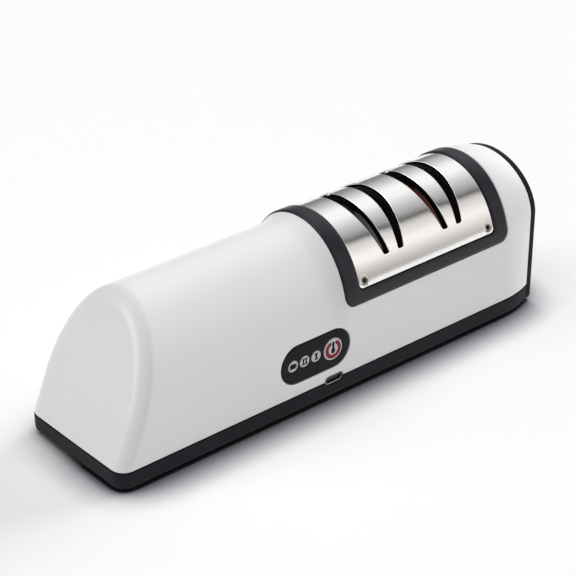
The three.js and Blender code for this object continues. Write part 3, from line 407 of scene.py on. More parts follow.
def lathe(name, profile, centre, axis, steps=96):  # profile holds (along, radius)
    points, rows = [], []
    for along, radius in profile:
        if radius == 0:
            rows.append([len(points)] * steps)
            points.append((0, 0, along))
            continue
        rows.append(list(range(len(points), len(points) + steps)))
        angles = [2 * pi * i / steps for i in range(steps)]
        points += [(radius * cos(a), radius * sin(a), along) for a in angles]
    closed = profile[0][1] > 0
    pairs = list(zip(rows, rows[1:] + rows[:1])) if closed else list(zip(rows, rows[1:]))
    faces = []
    for low, high in pairs:
        for i in range(steps):
            j = (i + 1) % steps
            corners = [low[i], low[j], high[j], high[i]]
            faces.append(tuple(c for k, c in enumerate(corners) if c not in corners[:k]))
    turn = axisTurns[axis]
    placed = [np.array(turn @ Vector(p)) + centre for p in points]
    return meshObject(name, placed, faces)


def rod(name, start, end, radius, centre, axis, steps):
    return lathe(name, [(start, 0), (start, radius), (end, radius), (end, 0)], centre, axis, steps)


def prism(name, outline, low, high, axis):  # outline is extruded along an axis
    turn = axisTurns[axis]
    rings = [[tuple(turn @ Vector((a, b, along))) for a, b in outline] for along in (low, high)]
    return loft(name, rings)


def upright(outline):  # (x, z) outline, as a prism along Y wants it
    return [(z, x) for x, z in outline]


def joined(name, pieces):
    made = bmesh.new()
    for piece in pieces:
        made.from_mesh(piece.data)
        bpy.data.objects.remove(piece)
    mesh = bpy.data.meshes.new(name)
    made.to_mesh(mesh)
    made.free()
    return newObject(name, mesh)


def combined(piece, cutters, operation):
    other = joined("cutter", cutters)
    modifier = piece.modifiers.new("Boolean", "BOOLEAN")
    modifier.operation = operation
    modifier.solver = "EXACT"
    modifier.object = other
    view = bpy.context.evaluated_depsgraph_get()
    mesh = bpy.data.meshes.new_from_object(piece.evaluated_get(view))
    piece.modifiers.clear()
    piece.data = mesh
    bpy.data.objects.remove(other)
    made = bmesh.new()
    made.from_mesh(mesh)
    smoothed(made)
    made.to_mesh(mesh)
    made.free()
    return piece


def dress(piece, material, body="housing", replaces=()):
    piece.data.materials.clear()
    piece.data.materials.append(material)
    if replaces:
        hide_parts(*replaces)
    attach(piece, body)
    return piece


# Materials

def newMaterial(name):
    material = bpy.data.materials.new(name)
    material.use_nodes = True
    tree = material.node_tree
    shader = tree.nodes["Principled BSDF"]
    coordinates = tree.nodes.new("ShaderNodeTexCoord").outputs["Object"]
    return material, tree, shader, coordinates


def noiseOf(tree, coordinates, scale, detail=2, stretch=(1, 1, 1)):
    mapping = tree.nodes.new("ShaderNodeMapping")
    mapping.inputs["Scale"].default_value = stretch
    tree.links.new(coordinates, mapping.inputs["Vector"])
    noise = tree.nodes.new("ShaderNodeTexNoise")
    noise.inputs["Scale"].default_value = scale
    noise.inputs["Detail"].default_value = detail
    tree.links.new(mapping.outputs["Vector"], noise.inputs["Vector"])
    return noise.outputs["Fac"]


def ramp(tree, factor, stops):
    node = tree.nodes.new("ShaderNodeValToRGB")
    while len(node.color_ramp.elements) < len(stops):
        node.color_ramp.elements.new(0.5)
    for element, (position, colour) in zip(node.color_ramp.elements, stops):
        element.position = position
        element.color = (*colour, 1)
    tree.links.new(factor, node.inputs["Fac"])
    return node.outputs["Color"]


def ranged(tree, factor, low, high, start=0, end=1):
    node = tree.nodes.new("ShaderNodeMapRange")
    node.inputs["From Min"].default_value = start
    node.inputs["From Max"].default_value = end
    node.inputs["To Min"].default_value = low
    node.inputs["To Max"].default_value = high
    tree.links.new(factor, node.inputs["Value"])
    return node.outputs["Result"]


def feed(tree, source, target):  # a socket is linked, and a value is set
    if isinstance(source, bpy.types.NodeSocket):
        tree.links.new(source, target)
    else:
        target.default_value = source


def computed(tree, operation, first, second):
    node = tree.nodes.new("ShaderNodeMath")
    node.operation = operation
    feed(tree, first, node.inputs[0])
    feed(tree, second, node.inputs[1])
    return node.outputs["Value"]


def mixed(tree, share, first, second, blend="MIX"):
    node = tree.nodes.new("ShaderNodeMix")
    node.data_type = "RGBA"
    node.blend_type = blend
    colours = [socket for socket in node.inputs if socket.type == "RGBA"]
    feed(tree, share, node.inputs[0])
    feed(tree, first, colours[0])
    feed(tree, second, colours[1])
    return next(socket for socket in node.outputs if socket.type == "RGBA")


def bump(tree, height, shader, strength, distance):
    node = tree.nodes.new("ShaderNodeBump")
    node.inputs["Strength"].default_value = strength
    node.inputs["Distance"].default_value = distance * mm
    tree.links.new(height, node.inputs["Height"])
    tree.links.new(node.outputs["Normal"], shader.inputs["Normal"])


def scaled(colour, factor):
    return tuple(min(1, c * factor) for c in colour)


plasticLook = {"clouds": 28, "detail": 3, "spread": 0.04, "bump": 0.2}
steelLook = {"detail": 4, "spread": (-0.05, 0.07), "clouds": 40, "cloudSpread": 0.02, "bump": 0.15}
abrasiveLook = {"detail": 4, "darkAt": 0.35, "fullAt": 0.62, "smoothest": 0.75, "bump": 0.8}
toneStops = (0.3, 0.7)  # where the noise gives a colour's darker and lighter tone


def tones(tree, noise, colour, less, more):
    shades = (scaled(colour, 1 - less), scaled(colour, 1 + more))
    return ramp(tree, noise, list(zip(toneStops, shades)))


# Grain and stretch are noise scales per metre. Depth, that of the bumps, is in millimetres.
def plastic(name, colour, roughness, grain, depth, drift=0.03, specular=0.5):
    material, tree, shader, coordinates = newMaterial(name)
    clouds = noiseOf(tree, coordinates, plasticLook["clouds"], plasticLook["detail"])
    feed(tree, tones(tree, clouds, colour, drift, drift), shader.inputs["Base Color"])
    fine = noiseOf(tree, coordinates, grain)
    spread = plasticLook["spread"]
    rough = ranged(tree, fine, roughness - spread, roughness + spread)
    feed(tree, rough, shader.inputs["Roughness"])
    shader.inputs["Specular IOR Level"].default_value = specular
    bump(tree, fine, shader, plasticLook["bump"], depth)
    return material


def brushedSteel(name, colour, roughness, stretch, depth, anisotropy=0.5, drift=0.1):
    material, tree, shader, coordinates = newMaterial(name)
    strokes = noiseOf(tree, coordinates, 1, steelLook["detail"], stretch)
    clouds = noiseOf(tree, coordinates, steelLook["clouds"])
    feed(tree, tones(tree, strokes, colour, drift, drift / 2), shader.inputs["Base Color"])
    low, high = steelLook["spread"]
    cloudSpread = steelLook["cloudSpread"]
    along = ranged(tree, strokes, roughness + low, roughness + high)
    rough = computed(tree, "ADD", along, ranged(tree, clouds, -cloudSpread, cloudSpread))
    feed(tree, rough, shader.inputs["Roughness"])
    shader.inputs["Metallic"].default_value = 1
    shader.inputs["Anisotropic"].default_value = anisotropy
    bump(tree, strokes, shader, steelLook["bump"], depth)
    return material


def abrasive(name, colour, dark, scale, depth):
    material, tree, shader, coordinates = newMaterial(name)
    cells = tree.nodes.new("ShaderNodeTexVoronoi")
    cells.inputs["Scale"].default_value = scale
    feed(tree, coordinates, cells.inputs["Vector"])
    noise = noiseOf(tree, coordinates, scale, abrasiveLook["detail"])
    tone = ramp(tree, noise, [(abrasiveLook["darkAt"], dark), (abrasiveLook["fullAt"], colour)])
    feed(tree, tone, shader.inputs["Base Color"])
    rough = ranged(tree, cells.outputs["Distance"], abrasiveLook["smoothest"], 1)
    feed(tree, rough, shader.inputs["Roughness"])
    bump(tree, cells.outputs["Distance"], shader, abrasiveLook["bump"], depth)
    return material


finishes = {
    "shell": plastic("white satin plastic", (0.865, 0.852, 0.858), 0.31, 2600, 0.02, 0.008),
    "base": plastic(
        "black textured plastic", (0.012, 0.0105, 0.0155), 0.56, 3200, 0.06, 0.12, specular=0.14
    ),
    "bezel": plastic(
        "charcoal satin plastic", (0.0115, 0.0105, 0.0165), 0.34, 3000, 0.03, 0.06, specular=0.36
    ),
    "inner": plastic(
        "matt black plastic", (0.006, 0.005, 0.006), 0.6, 2200, 0.05, 0.1, specular=0.15
    ),
    "panel": plastic(
        "black gloss plastic", (0.0095, 0.0085, 0.011), 0.3, 1500, 0.01, 0.05, specular=0.1
    ),
    "light": plastic("pale grey plastic", (0.6, 0.57, 0.59), 0.4, 2500, 0.01, 0.02),
    "ink": plastic("black print", (0.006, 0.005, 0.008), 0.5, 2500, 0.01, 0.05, specular=0.1),
    "red": plastic("dark red print", (0.23, 0.008, 0.02), 0.42, 2500, 0.01, 0.06, specular=0.2),
    "rubber": plastic("black rubber", (0.01, 0.01, 0.01), 0.82, 1800, 0.1, 0.1),
    "grey": plastic("grey moulded plastic", (0.35, 0.35, 0.36), 0.5, 1800, 0.03),
    "board": plastic("green board lacquer", (0.015, 0.11, 0.04), 0.35, 900, 0.02),
    "wrap": plastic("blue cell wrap", (0.03, 0.16, 0.42), 0.3, 700, 0.02),
    "lamp": plastic("frosted lamp", (0.8, 0.8, 0.75), 0.3, 1200, 0.01),
    "cover": brushedSteel(
        "brushed cover steel", (0.97, 0.965, 0.955), 0.13, (60, 5200, 5200), 0.001, 0.2, 0.035
    ),
    "steel": brushedSteel("plated steel", (0.56, 0.56, 0.56), 0.3, (900, 900, 900), 0.004, 0),
    "screw": brushedSteel("screw steel", (0.62, 0.59, 0.57), 0.2, (1500, 1500, 1500), 0.006, 0),
    # darker, browner copy of the screw steel for the cross recesses: painted shade
    "recess": brushedSteel(
        "steel with painted recess shade", (0.1, 0.065, 0.055), 0.4, (1500, 1500, 1500), 0.006, 0
    ),
    "tongue": plastic("dark grey contact plastic", (0.05, 0.048, 0.052), 0.4, 2200, 0.02, 0.08),
    "bronze": brushedSteel(
        "sintered bronze", (0.45, 0.29, 0.12), 0.42, (2200, 2200, 2200), 0.02, 0
    ),
    "coarse": abrasive("coarse abrasive", (0.5, 0.18, 0.145), (0.26, 0.08, 0.065), 2600, 0.2),
    "fine": abrasive("fine abrasive", (0.5, 0.49, 0.45), (0.33, 0.32, 0.3), 5200, 0.08),
}
print("materials made:", len(finishes))


# Upper shell

shellPiece = {
    "rim": 0.45,
    "windowBottom": 38,
    "windowCorner": 4.8,
    "portClearance": 0.5,
    "portSteps": 14,
    "notchSteps": 10,
    "loopStep": 1.5,
    "stepsAlong": (3.5, 0.7, 3.5, 0.75, 3.5, 1.1),
    "stepsOver": (2, 1.5, 2),
}
vBottom = float(rayLength + form["rayHeight"] - partingTop)
windowV = float(vAtHeight(form["saddle"], shellPiece["windowBottom"]))
usbCentre, usbSize = (usbLow + usbHigh) / 2, usbHigh - usbLow


def usbOutline(grow, lift=0):  # the charging inlet's outline from the front
    return around(usbLow, usbHigh, grow, lift, shellPiece["portSteps"])


def usbNotch(edgeHeight):  # the port's opening where it breaks an edge, left to right
    radius = usbSize[2] / 2 + shellPiece["portClearance"]
    reach = (usbSize[0] - usbSize[2]) / 2
    lift = np.arcsin((edgeHeight - usbCentre[2]) / radius)
    left, right = (usbCentre[0] - reach, usbCentre[2]), (usbCentre[0] + reach, usbCentre[2])
    points = arcPoints(left, radius, pi - lift, pi / 2, shellPiece["notchSteps"])
    points += arcPoints(right, radius, pi / 2, lift, shellPiece["notchSteps"])
    return [(x, -(rayLength + form["rayHeight"] - z)) for x, z in points]


shellEdge = [(tipU, -vBottom), *usbNotch(partingTop), (tailEnd, -vBottom)]
shellEdge += [(tailEnd, vBottom), (tipU, vBottom)]
shellLoops = [
    np.array(shellEdge),
    roundedRect(saddleLeft, saddleRight, -windowV, windowV, shellPiece["windowCorner"]),
    onBarrel(around(panelLow, panelHigh, seam)),
]
alongPlaces = (tipU, faceStart, arcStart, collarStart, saddleLeft, saddleRight, tailEnd)
shell = sheet(
    "shell",
    [resampled(loop, shellPiece["loopStep"]) for loop in shellLoops],
    grid(alongPlaces, shellPiece["stepsAlong"]),
    grid((-vBottom, -rayLength, rayLength, vBottom), shellPiece["stepsOver"]),
    bodyPoint,
    form["wall"],
    shellPiece["rim"],
    openU=tipU,
)
dress(shell, finishes["shell"], replaces=["upper_shell"])
print("shell made:", len(shell.data.polygons), "faces")


# Saddle frame and cover plate

bezelPiece = {"rim": 0.8, "rise": 0.6, "depth": 3, "bottom": 38.3, "corner": 4.5, "step": 2.5}
coverPiece = {
    "rim": 0.2,
    "depth": 0.5,
    "gap": 0.5,
    "bottom": 43.7,
    "corner": 2,
    "slotFloor": 52.5,
    "slotDrop": 15.6,
    "inner": (2.4, 4.5),
    "outer": (5.3, 10),
    "slotCorner": 0.7,
    "screwHole": 1.84,
    "screwRise": 2.75,
    "step": 2,
}
saddleSteps = {"loop": 1.2, "over": 1.2, "past": 8, "slotCorner": 5, "hole": 32}
fineLow, fineHigh = boxOf("fine_wheel")
coarseLow, coarseHigh = boxOf("coarse_wheel")
pairCentres = [(fineLow[0] + fineHigh[0]) / 2, (coarseLow[0] + coarseHigh[0]) / 2]
bezelV = float(vAtHeight(form["saddle"], bezelPiece["bottom"]))
coverV = float(vAtHeight(form["saddle"], coverPiece["bottom"]))
slotV = float(vAtHeight(form["saddle"], coverPiece["slotFloor"]))


def slotLoop(centre, side):
    low, high = coverPiece["inner"][0], coverPiece["outer"][0]
    corner, cornerSteps = coverPiece["slotCorner"], saddleSteps["slotCorner"]
    flat = roundedRect(low, high, -slotV, slotV, corner, cornerSteps)
    flat = resampled(flat, saddleSteps["loop"])
    height = sectionPoint(form["saddle"], 0, flat[:, 1])[1]
    rise = (height - coverPiece["slotFloor"]) / coverPiece["slotDrop"]
    inner = low + rise * (coverPiece["inner"][1] - low)
    outer = high + rise * (coverPiece["outer"][1] - high)
    x = inner + (outer - inner) * (flat[:, 0] - low) / (high - low)
    return np.stack([centre + side * x, flat[:, 1]], axis=-1)


slotLoops = [slotLoop(centre, side) for centre in pairCentres for side in (-1, 1)]
bezelLoop = roundedRect(bezelLow[0], bezelHigh[0], -bezelV, bezelV, bezelPiece["corner"])
gap = coverPiece["gap"]
openingLoop = roundedRect(
    coverLow[0] - gap, coverHigh[0] + gap, -coverV - gap, coverV + gap, coverPiece["corner"] + gap
)
saddleV = spaced(-coverV - saddleSteps["past"], coverV + saddleSteps["past"], saddleSteps["over"])
bezel = sheet(
    "bezel",
    [resampled(loop, saddleSteps["loop"]) for loop in (bezelLoop, openingLoop)],
    spaced(bezelLow[0], bezelHigh[0], bezelPiece["step"]),
    saddleV,
    lambda u, v, depth: bodyPoint(u, v, depth - bezelPiece["rise"]),
    bezelPiece["rise"] + bezelPiece["depth"],
    bezelPiece["rim"],
)
dress(bezel, finishes["bezel"], replaces=["saddle_bezel"])

screwPlaces = []
screwV = float(vAtHeight(form["saddle"], coverPiece["bottom"] + coverPiece["screwRise"]))
for i in range(1, 5):
    low, high = boxOf(f"cover_screw_{i}")
    screwPlaces.append(((low[0] + high[0]) / 2, np.sign(low[1] + high[1]) * screwV))
coverLoop = roundedRect(coverLow[0], coverHigh[0], -coverV, coverV, coverPiece["corner"])
screwHoles = [circle(x, v, coverPiece["screwHole"], saddleSteps["hole"]) for x, v in screwPlaces]
cover = sheet(
    "cover",
    [resampled(coverLoop, saddleSteps["loop"]), *slotLoops, *screwHoles],
    spaced(coverLow[0], coverHigh[0], coverPiece["step"]),
    saddleV,
    bodyPoint,
    coverPiece["depth"],
    coverPiece["rim"],
)
dress(cover, finishes["cover"], replaces=["cover_plate"])
print("saddle made:", len(cover.data.polygons), "cover faces")


# Screws, with a cross recess

screwShape = {  # shares of the head's radius
    "dome": 0.12,
    "point": 0.7,  # of the shank's radius
    "underside": (0.06, 0.94),
    "edge": (0.05, 0.95),
    "crown": ((0.4, 0.6), (0.1, 0.3)),  # the first of each two is of the dome's height
    "dishEdge": ((0.2, 0.86), (0.2, 0.72)),
    "dishFloor": 0.62,
    "arm": 0.58,
    "armWidth": 0.26,
    "armDepth": 0.5,
    "steps": 40,
}


def screw(name, size):  # its head's top is at the origin, facing +Z
    radius, height, shank = size["radius"], size["height"], size["shank"]
    length, dish = size["length"], size["dish"]
    dome = screwShape["dome"] * radius
    profile = [(-length, 0), (-length, shank * screwShape["point"]), (-length + shank, shank)]
    up, under = screwShape["underside"]
    profile += [(-height, shank), (-height, radius * under), (-height + radius * up, radius)]
    down, edge = screwShape["edge"]
    profile += [(-dome - radius * down, radius), (-dome, radius * edge)]
    top = screwShape["dishEdge"] if dish else screwShape["crown"]
    profile += [(-dome * drop, radius * across) for drop, across in top]
    profile += [(-dish, radius * screwShape["dishFloor"])] if dish else []
    piece = lathe(name, [*profile, (-dish, 0)], np.zeros(3), "Z", screwShape["steps"])
    arm, half = radius * screwShape["arm"], radius * screwShape["armWidth"] / 2
    deep = radius * screwShape["armDepth"] + dish
    for turn in (0, pi / 2):
        bar = [
            (x * cos(turn) - y * sin(turn), x * sin(turn) + y * cos(turn))
            for x, y in rectangle(-arm, arm, -half, half)
        ]
        combined(piece, [prism("recess", bar, -deep, radius, "Z")], "DIFFERENCE")
    return piece


def placeOn(piece, origin, up, spin):  # moves the mesh itself, so the object stays at the origin
    z = Vector(up).normalized()
    x = Vector((1, 0, 0))
    y = z.cross(x).normalized()
    turn = Matrix((x, y, z)).transposed() @ Matrix.Rotation(spin, 3, "Z")
    piece.data.transform(Matrix.Translation(Vector(origin) * mm) @ turn.to_4x4())
    return piece


coverScrew = {
    "radius": 1.66,
    "height": 0.85,
    "shank": 1.1,
    "length": 5,
    "dish": 0.22,
    "spins": (0.5, -0.3, 0.9, 0.1),
    "seatReach": 0.5,
    "recessBelow": 0.1,
    "recessWithin": 0.7,
}
for i, (x, v) in enumerate(screwPlaces):
    reach = coverScrew["seatReach"]
    ends = sectionPoint(form["saddle"], 0, np.array([v - reach, v + reach]))
    run = np.array([0, ends[0][1] - ends[0][0], ends[1][1] - ends[1][0]])
    y, z = sectionPoint(form["saddle"], 0, np.array([v]))
    piece = screw(f"cover_screw_head_{i + 1}", coverScrew)
    # Faces inside the cross recess get the second, darker steel: painted shade in the recess.
    below, within = -coverScrew["recessBelow"], coverScrew["recessWithin"] * coverScrew["radius"]
    paintedShadeFaces = [
        face.index
        for face in piece.data.polygons
        if face.center.z < below * mm and face.center.xy.length < within * mm
    ]
    placeOn(piece, (x, y[0], z[0]), np.cross([1, 0, 0], run), coverScrew["spins"][i])
    dress(piece, finishes["screw"], replaces=[f"cover_screw_{i + 1}"])
    piece.data.materials.append(finishes["recess"])
    for index in paintedShadeFaces:
        piece.data.polygons[index].material_index = 1

housingScrew = {"radius": 2.9, "height": 2, "shank": 1.4, "length": 15, "dish": 0, "spin": 0.4}
for i in range(1, 5):
    low, high = boxOf(f"housing_screw_{i}")
    centre = (low + high) / 2
    piece = screw(f"housing_screw_head_{i}", housingScrew)
    placeOn(piece, (centre[0], centre[1], low[2]), (0, 0, -1), housingScrew["spin"] * i)
    dress(piece, finishes["screw"], replaces=[f"housing_screw_{i}"])
print("screws made")


# Base tray

trayPiece = {
    "gap": 0.4,
    "rounding": 2.6,
    "floor": 2.2,
    "wall": 3.7,
    "corner": 6,
    "counterbore": 3.2,
    "counterboreTop": 4.6,
    "boss": 4.4,
    "bossBottom": 1,
    "footCorner": 3,
    "footDepth": 1.1,
    "edge": 0.25,
    "past": 5,  # how far cutters go past a face
    "cavityPast": 6,
    "portFront": 8,
    "roundingSteps": 6,
    "cornerSteps": 14,
    "step": 1,
    "holeSteps": 40,
}


def halfWidthAt(x):
    return sum(form[name]["halfWidth"] * weight for name, weight in sectionShares(x).items())


def planRing(inset, right, z):
    radius, step = max(trayPiece["corner"] - inset, seam), trayPiece["step"]
    xs = [*spaced(right, saddleRight, step), *spaced(saddleLeft, collarStart, step)]
    half = [(x, halfWidthAt(x) - inset) for x in xs]
    corner = (leftEnd + inset + radius, form["barrel"]["halfWidth"] - inset - radius)
    half += arcPoints(corner, radius, pi / 2, pi, trayPiece["cornerSteps"])
    ring = half + [(x, -y) for x, y in reversed(half)]
    return [(x, y, z) for x, y in ring]


def footOutline(low, high, grow, steps=10):
    low, high = low - grow, high + grow
    return roundedRect(low[0], high[0], low[1], high[1], trayPiece["footCorner"] + grow, steps)


trayBottom = trayLow[2]
trayTop = parting - trayPiece["gap"]
past, wall = trayPiece["past"], trayPiece["wall"]
trayRings = [
    planRing(inset, tailEnd, trayBottom + rise)
    for inset, rise in quarterRound(trayPiece["rounding"], trayPiece["roundingSteps"])
]
tray = loft("tray", [*trayRings, planRing(0, tailEnd, trayTop)])
cavityEnds = (trayBottom + trayPiece["floor"], trayTop + trayPiece["cavityPast"])
cavity = loft("cavity", [planRing(wall, tailEnd - wall, z) for z in cavityEnds])
combined(tray, [cavity], "DIFFERENCE")
bosses, cuts = [], []
for i in range(1, 5):
    low, high = boxOf(f"housing_screw_{i}")
    at, steps = (low + high) / 2 * (1, 1, 0), trayPiece["holeSteps"]
    bossLow, boreTop = trayBottom + trayPiece["bossBottom"], trayPiece["counterboreTop"]
    bosses.append(rod("boss", bossLow, trayTop, trayPiece["boss"], at, "Z", steps))
    cuts.append(rod("counterbore", -past, boreTop, trayPiece["counterbore"], at, "Z", steps))
combined(tray, bosses, "UNION")
footBoxes = [boxOf(f"foot_{i}") for i in range(1, 5)]
seatTop = trayBottom + trayPiece["footDepth"]
for low, high in footBoxes:
    cuts.append(prism("recess", footOutline(low, high, seam), -past, seatTop, "Z"))
port = upright(usbOutline(shellPiece["portClearance"]))
cuts.append(prism("port", port, usbLow[1] - trayPiece["portFront"], usbLow[1] + past, "Y"))
combined(tray, cuts, "DIFFERENCE")
softEdges(tray, trayPiece["edge"])
dress(tray, finishes["base"], replaces=["base_tray"])
print("tray made:", len(tray.data.polygons), "faces")


# Feet

footPiece = {"rounding": 0.55, "roundingSteps": 4, "cornerSteps": 8}
for i, (low, high) in enumerate(footBoxes):
    rings = []
    for inset, rise in quarterRound(footPiece["rounding"], footPiece["roundingSteps"]):
        outline = footOutline(low, high, -inset, footPiece["cornerSteps"])
        rings.append([(x, y, low[2] + rise) for x, y in outline])
    rings.append([(x, y, high[2]) for x, y, z in rings[-1]])
    piece = weighted(loft(f"foot_pad_{i + 1}", rings))
    dress(piece, finishes["rubber"], replaces=[f"foot_{i + 1}"])
print("feet made")


# End cap

capPiece = {
    "rounding": 1.3,
    "corner": 2.6,
    "spigotWall": 1.2,
    "spigotBottom": 11.5,
    "spigotDepth": 3.2,
    "hollowDrop": 3,
    "overlap": 1,
    "roundingSteps": 6,
    "sidePoints": 13,
    "cornerPoints": 8,
    "step": 1.2,
}


def tailRing(inset, bottom, x, corner=0):  # its two lower corners are rounded
    end = rayLength + form["rayHeight"] - bottom
    sides = np.linspace(rayLength, end - corner, capPiece["sidePoints"])
    if corner:
        rest = np.linspace(end - corner, end, capPiece["cornerPoints"])[1:]
        sides = np.concatenate([sides, rest])
    arch = spaced(-rayLength, rayLength, capPiece["step"])[1:-1]
    y, z = sectionPoint(form["tail"], inset, np.concatenate([-sides[::-1], arch, sides]))
    below = np.clip(corner - (z - bottom), 0, corner)
    y = y - np.sign(y) * (corner - np.sqrt(corner**2 - below**2))
    return [(x, a, b) for a, b in zip(y, z)]


capInner = tailEnd + seam
capRings = [tailRing(0, capLow[2], capInner, capPiece["corner"])]
for back, inset in quarterRound(capPiece["rounding"], capPiece["roundingSteps"]):
    x, corner = capHigh[0] - back, capPiece["corner"] - inset
    capRings.append(tailRing(inset, capLow[2] + inset, x, corner))
cap = loft("cap", capRings)
spigotInset, spigotBottom = form["wall"] + seam, capPiece["spigotBottom"]
spigotLeft, overlap = capInner - capPiece["spigotDepth"], capPiece["overlap"]
spigotEnds = (spigotLeft, capInner + overlap)
spigot = loft("spigot", [tailRing(spigotInset, spigotBottom, x) for x in spigotEnds])
hollowInset = spigotInset + capPiece["spigotWall"]
hollowBottom = spigotBottom - capPiece["hollowDrop"]
hollowEnds = (spigotLeft - overlap, capInner)
hollow = loft("hollow", [tailRing(hollowInset, hollowBottom, x) for x in hollowEnds])
combined(spigot, [hollow], "DIFFERENCE")
combined(cap, [spigot], "UNION")
weighted(cap)
dress(cap, finishes["base"], replaces=["end_cap"])
print("cap made:", len(cap.data.polygons), "faces")


# Grinding wheels, and the guide block with wider rooms, so that its channels show the wheels' sides

wheelPiece = {"bore": 8.3, "chamfer": 0.6, "steps": 128}
roomPiece = {
    "radius": 27,
    "reach": 5,
    "bridge": 4.7,
    "bottom": 30,
    "top": 70,
    "margin": 1,
    "steps": 96,
}
rooms = []
for name, low, high in (("fine", fineLow, fineHigh), ("coarse", coarseLow, coarseHigh)):
    centre = (low + high) / 2
    half, radius = (high[0] - low[0]) / 2, (high[2] - low[2]) / 2
    bore, chamfer = wheelPiece["bore"], wheelPiece["chamfer"]
    profile = [(-half, bore), (-half, radius - chamfer), (-half + chamfer, radius)]
    profile += [(half - chamfer, radius), (half, radius - chamfer), (half, bore)]
    wheel = weighted(lathe(f"{name}_stone", profile, centre, "X", wheelPiece["steps"]))
    dress(wheel, finishes[name], "spindle", [f"{name}_wheel"])
    reach, bridge, margin = roomPiece["reach"], roomPiece["bridge"], roomPiece["margin"]
    for start, end in ((-reach, -half), (half, reach)):
        room = rod("room", start, end, roomPiece["radius"], centre, "X", roomPiece["steps"])
        left, right = centre[0] + start - margin, centre[0] + end + margin
        span = rectangle(left, right, -bridge, bridge)
        keeper = prism("keeper", span, roomPiece["bottom"], roomPiece["top"], "Z")
        rooms.append(combined(room, [keeper], "DIFFERENCE"))
block = newObject("block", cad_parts["guide_block"].data.copy())
combined(block, rooms, "DIFFERENCE")
dress(block, finishes["inner"], replaces=["guide_block"])
print("wheels made, block:", len(block.data.polygons), "faces")


# Control panel, button and lights

panelPiece = {
    "rim": 0.25,
    "depth": 1.2,
    "sink": 0.1,
    "buttonHole": 4.95,
    "buttonHoleSteps": 64,
    "lightHole": 2.62,
    "loopStep": 1,
    "step": 1.2,
    "past": (2, 1),
}
lensBoxes = [boxOf(f"indicator_lens_{i}") for i in range(1, 4)]
lensCentres = [(low + high) / 2 for low, high in lensBoxes]
buttonX, buttonZ = ((buttonLow + buttonHigh) / 2)[[0, 2]]
panelLoops = [resampled(around(panelLow, panelHigh), panelPiece["loopStep"])]
panelLoops.append(circle(buttonX, buttonZ, panelPiece["buttonHole"], panelPiece["buttonHoleSteps"]))
panelLoops += [circle(c[0], c[2], panelPiece["lightHole"]) for c in lensCentres]
pastEnds, pastSides = panelPiece["past"]
panelZ = spaced(panelLow[2] - pastSides, panelHigh[2] + pastSides, panelPiece["step"])
panel = sheet(
    "panel",
    [onBarrel(loop) for loop in panelLoops],
    spaced(panelLow[0] - pastEnds, panelHigh[0] + pastEnds, panelPiece["step"]),
    np.sort(-vAtHeight(form["barrel"], panelZ)),
    lambda u, v, depth: bodyPoint(u, v, depth + panelPiece["sink"]),
    panelPiece["depth"],
    panelPiece["rim"],
)
dress(panel, finishes["panel"], replaces=["control_panel"])

buttonPiece = {
    "radius": 4.8,
    "rounding": 0.3,
    "roundingSteps": 4,
    "sink": 0.04,
    "depth": 1.7,
    "flange": 5.45,
    "flangeDepth": 1,
    "stem": 1.5,
    "ringOuter": 4.05,
    "ringInner": 2.4,
    "ringOpening": 68,
    "ringSteps": (48, 8),
    "barTop": (2.85, 0.66),
    "barWaist": (1.1, 0.5),
    "barLow": (-0.8, 1.08),
    "barLowTurn": (145, 395),
    "barSteps": (10, 20),
}
face = buttonLow[1] + buttonPiece["sink"]
flangeFront = face + buttonPiece["depth"]
flangeBack = flangeFront + buttonPiece["flangeDepth"]
radius, flange, stem = (buttonPiece[key] for key in ("radius", "flange", "stem"))
profile = [(face, 0)]
for inset, rise in quarterRound(buttonPiece["rounding"], buttonPiece["roundingSteps"]):
    profile.append((face + rise, radius - inset))
profile += [(flangeFront, radius), (flangeFront, flange), (flangeBack, flange)]
profile += [(flangeBack, stem), (buttonHigh[1], stem), (buttonHigh[1], 0)]
button = weighted(lathe("button", profile, np.array([buttonX, 0, buttonZ]), "Y"))
dress(button, finishes["light"], "power_button", ["power_button"])


printPiece = {"proud": 0.03, "depth": 0.2}


def inlay(name, outline, face, finish, body="housing"):  # print on a face that looks to -Y
    front = face - printPiece["proud"]
    piece = prism(name, upright(outline), front, front + printPiece["depth"], "Y")
    return dress(piece, finishes[finish], body)


def openRing(centre, inner, outer, opening, steps, endSteps):  # open at the top, with round ends
    half = radians(opening / 2)
    middle, end = (inner + outer) / 2, (outer - inner) / 2
    start, stop = pi / 2 + half, pi / 2 - half + 2 * pi
    points = []
    for radius, first, last in ((outer, start, stop), (inner, stop, start)):
        points += arcPoints(centre, radius, first, last, steps)
        tip = (centre[0] + middle * cos(last), centre[1] + middle * sin(last))
        turn = last if radius == outer else last + pi
        points += arcPoints(tip, end, turn, turn + pi, endSteps)[1:-1]
    return points


inner, outer = buttonPiece["ringInner"], buttonPiece["ringOuter"]
opening, ringSteps = buttonPiece["ringOpening"], buttonPiece["ringSteps"]
ring = openRing((buttonX, buttonZ), inner, outer, opening, *ringSteps)
inlay("button_ring", ring, face, "red", "power_button")
topRise, topRadius = buttonPiece["barTop"]
waistRise, waist = buttonPiece["barWaist"]
lowRise, lowRadius = buttonPiece["barLow"]
lowStart, lowEnd = (radians(turn) for turn in buttonPiece["barLowTurn"])
topSteps, lowSteps = buttonPiece["barSteps"]
bar = arcPoints((buttonX, buttonZ + topRise), topRadius, 0, pi, topSteps)
bar.append((buttonX - waist, buttonZ + waistRise))
bar += arcPoints((buttonX, buttonZ + lowRise), lowRadius, lowStart, lowEnd, lowSteps)
bar.append((buttonX + waist, buttonZ + waistRise))
inlay("button_bar", bar, face, "ink", "power_button")

